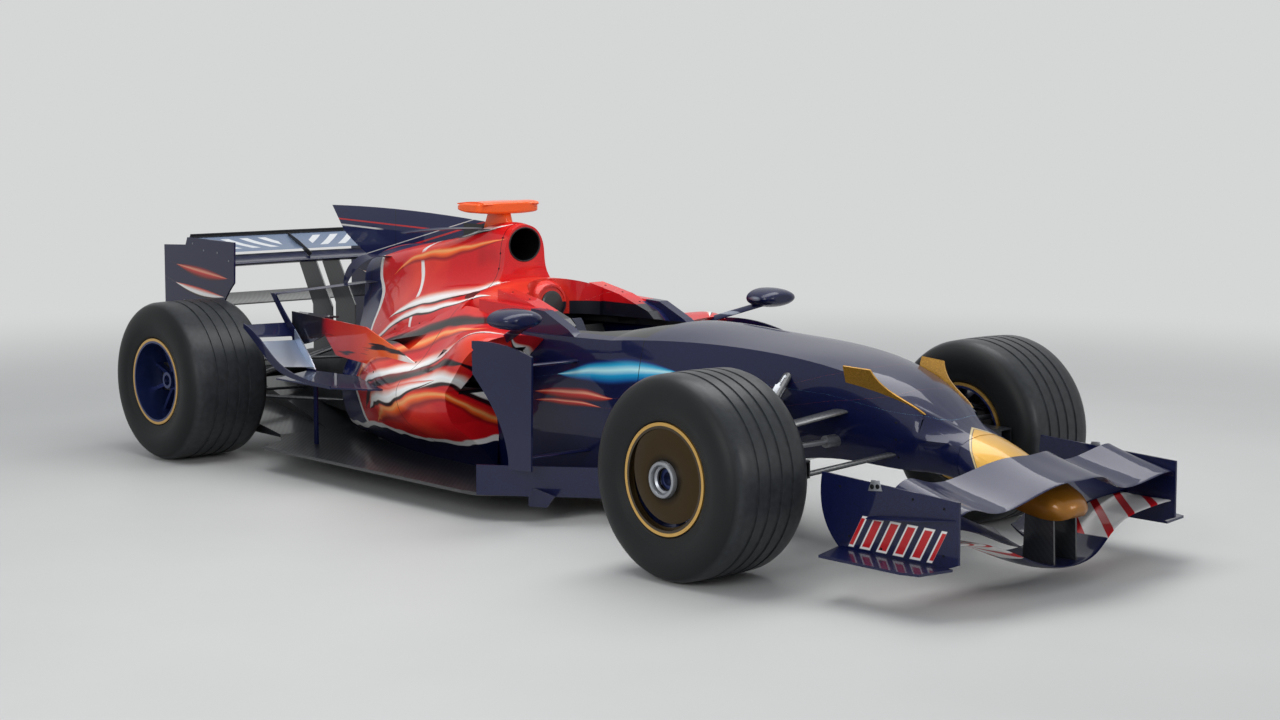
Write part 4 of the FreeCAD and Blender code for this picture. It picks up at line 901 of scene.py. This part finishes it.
def thicken(piece, way, round_by=0.0):
    """Pushes what is selected to a thickness, and rounds the edges."""
    push(way)
    outwards()
    if round_by:
        apply(piece, "BEVEL", width=round_by, segments=2)
    return piece


def plate(points, way, round_by=0.0):
    """A flat plate from its outline."""
    piece = loop(points)
    bpy.ops.mesh.edge_face_add()
    return thicken(piece, way, round_by)


def land(node, origin, towards):
    """Where a ray meets a solid, and the way the solid faces there."""
    hit, spot, normal, face = nodes[node].ray_cast(Vector(origin), Vector(towards).normalized())
    if not hit:
        raise ValueError(f"no {node} from {origin} towards {towards}")
    return spot, normal


def facing(spot, normal, turn=0.0):
    """The placing of a piece that is modelled at the origin and looks up +Z."""
    aim = Vector(normal).to_track_quat("Z", "Y").to_matrix().to_4x4()
    return Matrix.Translation(spot) @ aim @ Matrix.Rotation(turn, 4, "Z")


def join(parts):
    """Joins parts into one piece."""
    alone(parts[0])
    for part in parts:
        part.select_set(True)
    bpy.ops.object.join()
    return parts[0]


# %% Screws
outside, down = Vector((0, -1, 0)), Vector((0, 0, -1))
sunk = 0.0004


def screw_head(radius, height):
    """A screw's low domed head with a recess for its key, standing on z = 0 at the origin."""
    insets = [(radius * 0.18, height * 0.3), (radius * 0.30, 0), (radius * 0.04, -height * 0.8)]
    head = stepped("cylinder", upper, insets, vertices=18, radius=radius, depth=height,
                   location=(0, 0, height / 2))
    pick(head, lambda f: f.normal.z < -0.9)
    bpy.ops.mesh.delete(type="FACE")
    return head


def screws(stem, look, head, spots):
    """Copies of a head on many spots, each given as a place and a direction, joined into one piece a side."""
    heads = [copy_to(head, facing(spot - normal * sunk, normal)) for spot, normal in spots]
    pair(join(heads), stem, look)
    print("screws on each side:", len(spots))


small_head = screw_head(0.0042, 0.0012)
large_head = screw_head(0.0075, 0.0022)

# %% [markdown]
# ## Fasteners on the panels
# Race bodywork comes off in minutes, so its edges are held by quarter-turn fasteners. Rays from the side
# and from above find the places along each joint line.

# %% Panel fasteners
rays = [("monocoque", (1.676, -0.6, z), -outside) for z in (0.36, 0.42, 0.475)]
rays += [("engine_cover", (x, -0.8, 0.752 + 0.2 * x), -outside) for x in (-0.46, -0.66, -0.86, -1.06)]
rays += [("sidepods", (x, -1.0, z), -outside)
         for x, z in ((-0.20, 0.56), (-0.45, 0.50), (-0.70, 0.44), (-0.95, 0.38))]
rays += [("engine_cover", (-0.425, -0.5, z), -outside) for z in (0.84, 0.90, 0.96)]
rays += [("headrest", (x, -0.235, 1.0), down) for x in (-0.18, -0.08, 0.02)]
screws("panel_fasteners", "steel_black_oxide", small_head, [land(*ray) for ray in rays])

front_places = [(2.200, 0.318), (2.200, 0.178), (1.960, 0.162), (1.830, 0.182), (1.790, 0.330),
                (2.080, 0.330)]
rear_places = [(-1.760, 0.812), (-1.850, 0.842), (-1.960, 0.846), (-2.050, 0.872), (-1.990, 0.610),
               (-2.130, 0.620)]
for stem, look, y, places in (("front_plate_screws", "steel_black_oxide", -0.553, front_places),
                              ("rear_plate_screws", "aluminium_machined", -0.504, rear_places)):
    screws(stem, look, small_head, [(Vector((x, y, z)), outside) for x, z in places])

# %% [markdown]
# ## The faces of the front wheels
# The bronze disc in each front wheel lies almost level with the rim's gold lip, and leaves a narrow
# crescent open at the lower rear, where the brake's hot air leaves. The outline is a circle cut by a second
# circle, shifted forwards and up. The plate is 2.5 mm thick, rounded at its edges, and stands in front of
# the flat disc of the model.

# %% Wheel faces
def rays_round(steps, first, second):
    """Directions all the way round, in the plane of two axes."""
    turns = [math.tau * i / steps for i in range(steps)]
    return [Vector(first) * math.cos(turn) + Vector(second) * math.sin(turn) for turn in turns]


face_radius, cut_radius, hole_radius = 0.1597, 0.1610, 0.0535
middle = Vector((front_x, -0.8765, axle_z))
shift = Vector((0.024, 0, 0.026))
outline = []
for ray in rays_round(120, (1, 0, 0), (0, 0, 1)):
    reach = ray.dot(shift) + math.sqrt(ray.dot(shift) ** 2 - shift.length_squared + cut_radius ** 2)
    outline.append(middle + ray * min(face_radius, reach))
disc_face = loop(outline)
bpy.ops.mesh.primitive_circle_add(vertices=len(outline), radius=hole_radius, rotation=degrees(90, 0, 0),
                                  location=middle)
bpy.ops.mesh.select_all(action="SELECT")
bpy.ops.mesh.bridge_edge_loops()
thicken(disc_face, (0, -0.0025, 0), 0.0010)
pair(disc_face, "wheel_face", "cover_turned_bronze", "wheel_front_{}", 25)

# %% [markdown]
# ## The nose's collar
# The nose cone bolts to the front of the tub, which is a little wider there. On the real car a thin collar
# of carbon smooths the step, and is painted with the rest. Rays find the cross-sections of both, and the
# collar leaves the one and meets the other at their own slopes: closed lines of points are drawn, bridged,
# and given a thickness.

# %% Nose collar
def section(node, x):
    """Distances from the nose's centre line to a solid, all round it at one station."""
    centre = Vector((x, 0, nose_z))
    return [(land(node, centre + ray * 0.5, -ray)[0] - centre).length for ray in around]


def eased(t, a, slope_a, b, slope_b):
    """A smooth curve from a to b as t goes from 0 to 1, that leaves and arrives at these slopes."""
    return (a * (2 * t ** 3 - 3 * t * t + 1) + slope_a * (t ** 3 - 2 * t * t + t) +
            b * (3 * t * t - 2 * t ** 3) + slope_b * (t ** 3 - t * t))


nose_z, stations = 0.415, 15
around = rays_round(72, (0, 1, 0), (0, 0, 1))
start_x, end_x, nudge, clear = 1.690, 1.900, 0.012, 0.0006
tub_end_x, cone_start_x = 1.759, 1.772
tub, cone = section("monocoque", start_x), section("nose_cone", end_x)
before, after = section("monocoque", start_x - nudge), section("nose_cone", end_x + nudge)
length = end_x - start_x
rings = []
for step in range(stations):
    t = step / (stations - 1)
    x = start_x + length * t
    node = "monocoque" if x < tub_end_x else "nose_cone" if x > cone_start_x else None
    inner = section(node, x) if node else [0.0] * len(around)
    points = []
    for i, ray in enumerate(around):
        slopes = [(tub[i] - before[i]) / nudge * length, (after[i] - cone[i]) / nudge * length]
        reach = max(eased(t, tub[i], slopes[0], cone[i], slopes[1]), inner[i])
        points.append(Vector((x, 0, nose_z)) + ray * (reach + clear))
    rings.append(loop(points))
nose_collar = join(rings)
open_up(nose_collar)
bpy.ops.mesh.bridge_edge_loops()
outwards()
apply(nose_collar, "SOLIDIFY", thickness=0.0010, offset=1.0)
settle(nose_collar, "nose_collar", "hull_base_coat_blue", "chassis", 60)
print("collar:", len(nose_collar.data.polygons), "faces")

# %% [markdown]
# ## The front wing's small parts
# Outside each end plate a thin horizontal vane turns the air round the tyre, and a folded bracket ties the
# plate's top edge to the flap behind it. Both are flat sheet parts with rounded edges.

# %% Vanes and brackets of the front wing
vane = plate([(1.905, -0.5528, 0.250), (2.245, -0.5528, 0.286), (2.236, -0.5640, 0.2850),
              (2.120, -0.5920, 0.2725), (2.000, -0.6000, 0.2600), (1.925, -0.5860, 0.2520)],
             (0, 0, 0.003), 0.0008)
pair(vane, "plate_vane", "wing_base_coat_blue")

bracket = [(1.905, 0.332), (1.962, 0.338), (1.950, 0.369), (1.918, 0.367)]
bracket = plate([(x, -0.5532, z) for x, z in bracket], (0, -0.0025, 0), 0.0006)
pair(bracket, "plate_bracket", "aluminium_machined")
screws("bracket_bolts", "steel_black_oxide", large_head,
       [(Vector((1.922, -0.5557, 0.347)), outside), (Vector((1.944, -0.5557, 0.350)), outside)])

# %% [markdown]
# ## The rear wing's small parts
# A gurney, a small right-angled strip along the flap's trailing edge, and a thin strake in the middle of
# the flap that keeps the slot open. The strip is an L, drawn from its end and pushed across the wing.

# %% Gurney and strake
lean, flap_chord = math.radians(24), 0.158
along = Vector((-math.cos(lean), 0, math.sin(lean)))
up = Vector((math.sin(lean), 0, math.cos(lean)))
corner = Vector((-1.944, -0.4955, 0.834)) + along * (flap_chord - 0.001)
foot, web, tall = along * 0.012, along * 0.0016, up * 0.014
gurney = plate([corner - foot, corner, corner + tall, corner + tall - web, corner + up * 0.0030 - web,
                corner + up * 0.0030 - foot], (0, 0.991, 0))
settle(gurney, "flap_gurney", "carbon_matt_inner", "chassis")

middle_spot = land("rear_wing_flap", (-1.990, 0.0, 1.2), down)[0]
rear_spot = land("rear_wing_flap", (-2.070, 0.0, 1.2), down)[0]
front_spot = land("rear_wing_main_plane", (-1.900, 0.0, 1.2), down)[0]
strake = plate([spot + Vector((x, -0.002, z)) for spot, x, z in (
    (front_spot, 0, -0.001), (front_spot, 0.02, 0.016), (middle_spot, 0, 0.020), (rear_spot, 0, 0.012),
    (rear_spot, 0, -0.001), (middle_spot, 0, -0.001))], (0, 0.004, 0), 0.0008)
settle(strake, "slot_strake", "carbon_matt_inner", "chassis")

# %% [markdown]
# ## Rod ends
# Where the pushrod meets the hull its carbon ends in a machined fork. It is modelled upright at the origin
# from a block whose top is drawn in. Two cheeks stand on it, and a bolt goes through them. Then it is laid
# along the rod.

# %% Forks on the pushrods
def fork(width, depth, length):
    """A fork that stands on z = 0 with its two cheeks upwards, and its bolt along Y."""
    body = stepped("cube", upper, [(depth * 0.10, 0)], size=1.0, scale=(width, depth, length * 0.45),
                   location=(0, 0, length * 0.225))
    push((0, 0, length * 0.2))
    bpy.ops.transform.resize(value=(0.55, 1.0, 1.0), center_override=(0, 0, length * 0.65))
    parts = [body]
    for side in (-1, 1):
        parts.append(plate([(width * x, side * depth * 0.28, length * z) for x, z in (
            (-0.26, 0.60), (0.26, 0.60), (0.24, 0.90), (0.10, 1.0), (-0.10, 1.0), (-0.24, 0.90))],
            (0, side * depth * 0.16, 0), 0.0008))
    parts.append(start("cylinder", vertices=20, radius=width * 0.13, depth=depth * 1.15,
                       rotation=degrees(90, 0, 0), location=(0, 0, length * 0.86)))
    piece = join(parts)
    apply(piece, "BEVEL", width=0.0007, segments=2)
    return piece


fork_length, fork_turn = 0.100, 0.4
rod_foot = Vector((front_x - 0.014, -0.608, 0.266))
rod_root = Vector((front_x - 0.110, -0.205, 0.598))
way = (rod_root - rod_foot).normalized()
spot = land("monocoque", rod_foot + way * 0.25, way)[0]
rod_end = fork(0.036, 0.022, fork_length)
put(rod_end, facing(spot - way * (fork_length - 0.004), way, fork_turn))
pair(rod_end, "pushrod_fork", "aluminium_machined")
print("fork at", [round(v, 3) for v in spot])

# %% [markdown]
# ## Mirrors
# The glass lies in the back of each mirror's shell, inside a lip. A disc is squeezed to an oval, its face
# is inset, and the inner part is pushed in by a millimetre.

# %% Mirror glass
mottled("silvered_glass", "#e4e7e8", "#d6dadc", 30, Metallic=1.0, Roughness=0.03)

spot = land("mirrors", (0.0, -0.643, 0.735), (1, 0, 0))[0]
glass = stepped("cylinder", lambda f: f.normal.x < -0.9, [(0.0035, 0), (0.0005, -0.0012)], vertices=64,
                radius=1.0, depth=1.0, scale=(0.030, 0.083, 0.004), rotation=degrees(0, 90, 0))
put(glass, Matrix.Translation(spot + Vector((0.0005, 0, 0))))
pair(glass, "mirror_glass", "silvered_glass")

# %% [markdown]
# ## In the cockpit
# Two shoulder belts run down the seat's back, and two lap belts in from its sides, to a round buckle. The
# steering wheel has moulded grips, a screen, buttons and knobs, and the inlet over the headrest has a thin
# seal round its lip. Belts are woven nylon: ribs run along them, drawn 3 mm apart, a little coarser than
# real ones so that they show.

# %% Cockpit finishes
tree, skin, place = finish("nylon_webbing", Roughness=0.75, Sheen_Weight=0.3, Sheen_Roughness=0.4)
ribs = waves(tree, split(tree, place)[1], 3)
# The ribs' crests are painted lighter and their valleys darker: painted shade of the ribs.
link(tree, skin, Base_Color=blend(tree, above(tree, ribs, 0.0, 1.0), "#0f1626", "#1d2a47"))
relief(tree, skin, ribs, 0.3)

tree, skin, place = finish("screen_glass", Roughness=0.05, Coat_Weight=0.8)
lines = stripes(tree, split(tree, place)[1], 0.008, 0.001, 0.007, 0.0003)
link(tree, skin, Base_Color=blend(tree, lines, "#0a0f12", "#16262b"))

for name, light, dark in (("button_abs_red", "#c81f24", "#a3161b"),
                          ("button_abs_white", "#e4e4e0", "#cfcfca"),
                          ("button_abs_blue", "#1f58b8", "#17458f")):
    mottled(name, light, dark, 4, Roughness=0.4)

# %% Belts and buckle
shoulder = [(-0.198, 0.640), (-0.182, 0.652), (-0.168, 0.640), (-0.050, 0.432), (0.074, 0.214),
            (0.096, 0.196), (0.096, 0.1935), (0.072, 0.211), (-0.053, 0.430), (-0.171, 0.637),
            (-0.182, 0.6485), (-0.1965, 0.6375)]
lap = [(0.100, 0.020, 0.200), (0.148, 0.020, 0.196), (0.150, 0.208, 0.262), (0.104, 0.208, 0.268)]
belt_width, belt_spread = 0.045, 0.085
belts = []
for side in (-1, 1):
    y = side * belt_spread - belt_width / 2
    belts.append(plate([(x, y, z) for x, z in shoulder], (0, belt_width, 0)))
    belts.append(plate([(x, side * y, z) for x, y, z in lap], (0, 0, 0.0025)))
settle(join(belts), "shoulder_belts", "nylon_webbing", "chassis", 50)


def tab(face):
    """Tells whether a face is on the buckle's rim and carries a tab, as every fifth one of its 40 does."""
    centre = face.calc_center_median()
    number = int(math.degrees(math.atan2(centre.y, centre.x)) // 9)
    return abs(face.normal.z) < 0.2 and centre.to_2d().length > 0.031 and number % 5 == 0


buckle = stepped("cylinder", upper, [(0.003, 0.002), (0.010, 0), (0.0006, 0.003)], vertices=40, radius=0.032,
                 depth=0.012, location=(0, 0, 0.006))
pick(buckle, tab)
bpy.ops.mesh.inset(thickness=0.0003)
bpy.ops.mesh.extrude_faces_move(TRANSFORM_OT_shrink_fatten={"value": 0.009})
put(buckle, facing((0.112, 0.0, 0.204), (0.25, 0, 0.97)))
settle(buckle, "belt_buckle", "aluminium_machined", "chassis")

# %% The steering wheel's screen, buttons and knobs
tilt, wheel_x, wheel_z = math.radians(12), 0.430, 0.575
wheel_face = Matrix(((0, math.sin(tilt), -math.cos(tilt), wheel_x), (-1, 0, 0, 0.0),
                     (0, math.cos(tilt), math.sin(tilt), wheel_z), (0, 0, 0, 1)))
screen = stepped("cube", upper, [(0.004, 0), (0.0006, -0.0014)], size=1.0, scale=(0.084, 0.040, 0.006),
                 location=(0, 0.024, 0.002))
put(screen, wheel_face)
settle(screen, "wheel_screen", "screen_glass", "steering_wheel")

button = stepped("cylinder", upper, [(0.0012, 0.0010), (0.0016, -0.0006)], vertices=20, radius=0.0065,
                 depth=0.007, location=(0, 0, 0.003))
knob = start("cylinder", vertices=24, radius=0.011, depth=0.010, location=(0, 0, 0.005))
open_up(knob)
pick(knob, lambda f: abs(f.normal.z) < 0.2 and f.index % 3 == 0)
bpy.ops.mesh.extrude_faces_move(TRANSFORM_OT_shrink_fatten={"value": 0.0012})
pick(knob, upper)
bpy.ops.mesh.inset(thickness=0.003, depth=0.001)
for model, name, look, slot, places in (
        (button, "wheel_button_abs_reds", "button_abs_red", "carbon", [(-0.062, 0.046), (0.062, -0.010)]),
        (button, "wheel_button_abs_whites", "button_abs_white", "carbon",
         [(0.062, 0.046), (-0.062, -0.010), (0.0, -0.024)]),
        (button, "wheel_button_abs_blues", "button_abs_blue", "carbon", [(-0.062, 0.018), (0.062, 0.018)]),
        (knob, "wheel_knobs", "aluminium_machined", "cast_metal",
         [(-0.036, -0.050), (0.0, -0.050), (0.036, -0.050)])):
    copies = [copy_to(model, wheel_face @ Matrix.Translation((*at, 0))) for at in places]
    settle(join(copies), name, look, "steering_wheel")

# %% The steering wheel's grips
grip = start("cube", size=1.0, scale=(0.040, 0.112, 0.040), location=(0.1125, 0.006, -0.014))
open_up(grip)
bpy.ops.mesh.subdivide(number_cuts=3, smoothness=0.0)
pick(grip, lambda f: f.normal.z < -0.9 and abs(f.calc_center_median().y - 0.006) < 0.04)
bpy.ops.transform.translate(value=(0, 0, 0.003))
apply(grip, "SUBSURF", levels=2, render_levels=2)
left_grip = copy_to(grip, Matrix.Scale(-1, 4, (1, 0, 0)))
for piece, name in zip((grip, left_grip), both("wheel_grip")):
    put(piece, wheel_face)
    settle(piece, name, "rubber_moulded_grip", "steering_wheel", 60)

# %% The inlet's seal
seal = start("torus", major_radius=0.0775, minor_radius=0.0035, major_segments=72, minor_segments=12,
             rotation=degrees(0, 90, 0))
open_up(seal)
bpy.ops.transform.resize(value=(1.0, 1.0, 0.848))
put(seal, Matrix.Translation((-0.3955, 0, airbox_z)))
settle(seal, "inlet_seal", "rubber_moulded_grip", "chassis", 60)

# %% [markdown]
# ## The camera housing and the head fairing
# The camera on top of the airbox sits in a rounded housing, thicker than the flat arm inside it. A box is
# drawn out to a point at the back and smoothed by subdivision. In front of the airbox a smooth dome covers
# the roll hoop's foot, closed at the front by a black cap; it starts as a sphere whose back half is drawn
# out into the cover.

# %% Camera housing
housing_z = 1.0735
housing = start("cube", size=1.0, scale=(0.176, 0.312, 0.050), location=(-0.560, 0, housing_z))
open_up(housing)
bpy.ops.mesh.subdivide(number_cuts=3, smoothness=0.0)
for side in (-1, 1):
    pick(housing, lambda v: v.co.y * side > 0.14, "verts")
    bpy.ops.transform.resize(value=(0.82, 1.0, 0.78), center_override=(-0.548, 0, housing_z))
pick(housing, lambda v: v.co.x < -0.62, "verts")
bpy.ops.transform.resize(value=(1.0, 1.0, 0.30), center_override=(-0.63, 0, housing_z))
bpy.ops.transform.translate(value=(-0.012, 0, 0))
apply(housing, "SUBSURF", levels=2, render_levels=2)
settle(housing, "camera_housing", "orange_gloss_paint", "chassis", 60)
camera_foot = plate([(x, -0.016, z) for x, z in ((-0.500, 1.062), (-0.478, 1.000), (-0.640, 0.985),
                                                (-0.606, 1.062))], (0, 0.032, 0), 0.008)
settle(camera_foot, "camera_foot", "orange_gloss_paint", "chassis", 50)

# %% Head fairing
dome = start("uv_sphere", segments=48, ring_count=24, radius=1.0, rotation=degrees(0, 90, 0))
open_up(dome)
bpy.ops.transform.resize(value=(0.110, 0.102, 0.094))
pick(dome, lambda v: v.co.x < -0.002, "verts")
bpy.ops.transform.resize(value=(1.3, 1.0, 1.0), center_override=(0, 0, 0))
bpy.ops.mesh.select_all(action="SELECT")
bpy.ops.mesh.bisect(plane_co=(0.078, 0, 0), plane_no=(1, 0, 0.12), use_fill=True, clear_outer=True)
bpy.ops.mesh.inset(thickness=0.008, depth=0.0)
bpy.ops.mesh.inset(thickness=0.0015, depth=-0.004)
put(dome, Matrix.Translation((-0.305, 0, 0.712)))
settle(dome, "head_fairing", "cover_base_coat_red", "chassis", 40)

cap = stepped("cylinder", upper, [(0.004, 0.0015), (0.010, 0.0008)], vertices=48, radius=0.052, depth=0.006,
              location=(0, 0, 0.003))
put(cap, facing((-0.2315, 0, 0.708), (1, 0, 0.12)))
settle(cap, "fairing_cap", "carbon_matt_inner", "chassis")

# %% [markdown]
# ## Radiators
# Behind each pod's inlet stands a radiator: a frame with a core of thin fins about 2 mm apart, drawn here
# at 6 mm. One fin is modelled and copied.

# %% Radiators
fin_pitch, fin_count = 0.006, 17
fin = stepped("cube", lambda f: f.normal.x > 0.9, [(0.0001, 0)], size=1.0, scale=(0.024, 0.0011, 0.108),
              location=(-0.262, 0, 0))
bpy.ops.transform.resize(value=(1, 0.3, 1), center_override=(0, 0, 0))
core = [copy_to(fin, Matrix.Translation((0, -0.398 - fin_pitch * i, 0.492))) for i in range(fin_count)]
bar = [(-0.394, 0.432), (-0.500, 0.436), (-0.500, 0.444), (-0.394, 0.440)]
bar = plate([(-0.272, y, z) for y, z in bar], (0.024, 0, 0), 0.001)
top_bar = copy_to(bar, Matrix.Translation((0, 0, 0.106)))
pair(join([bar, top_bar, *core]), "radiator", "aluminium_machined")

for spare in (small_head, large_head, button, knob, fin):
    bpy.data.objects.remove(spare)
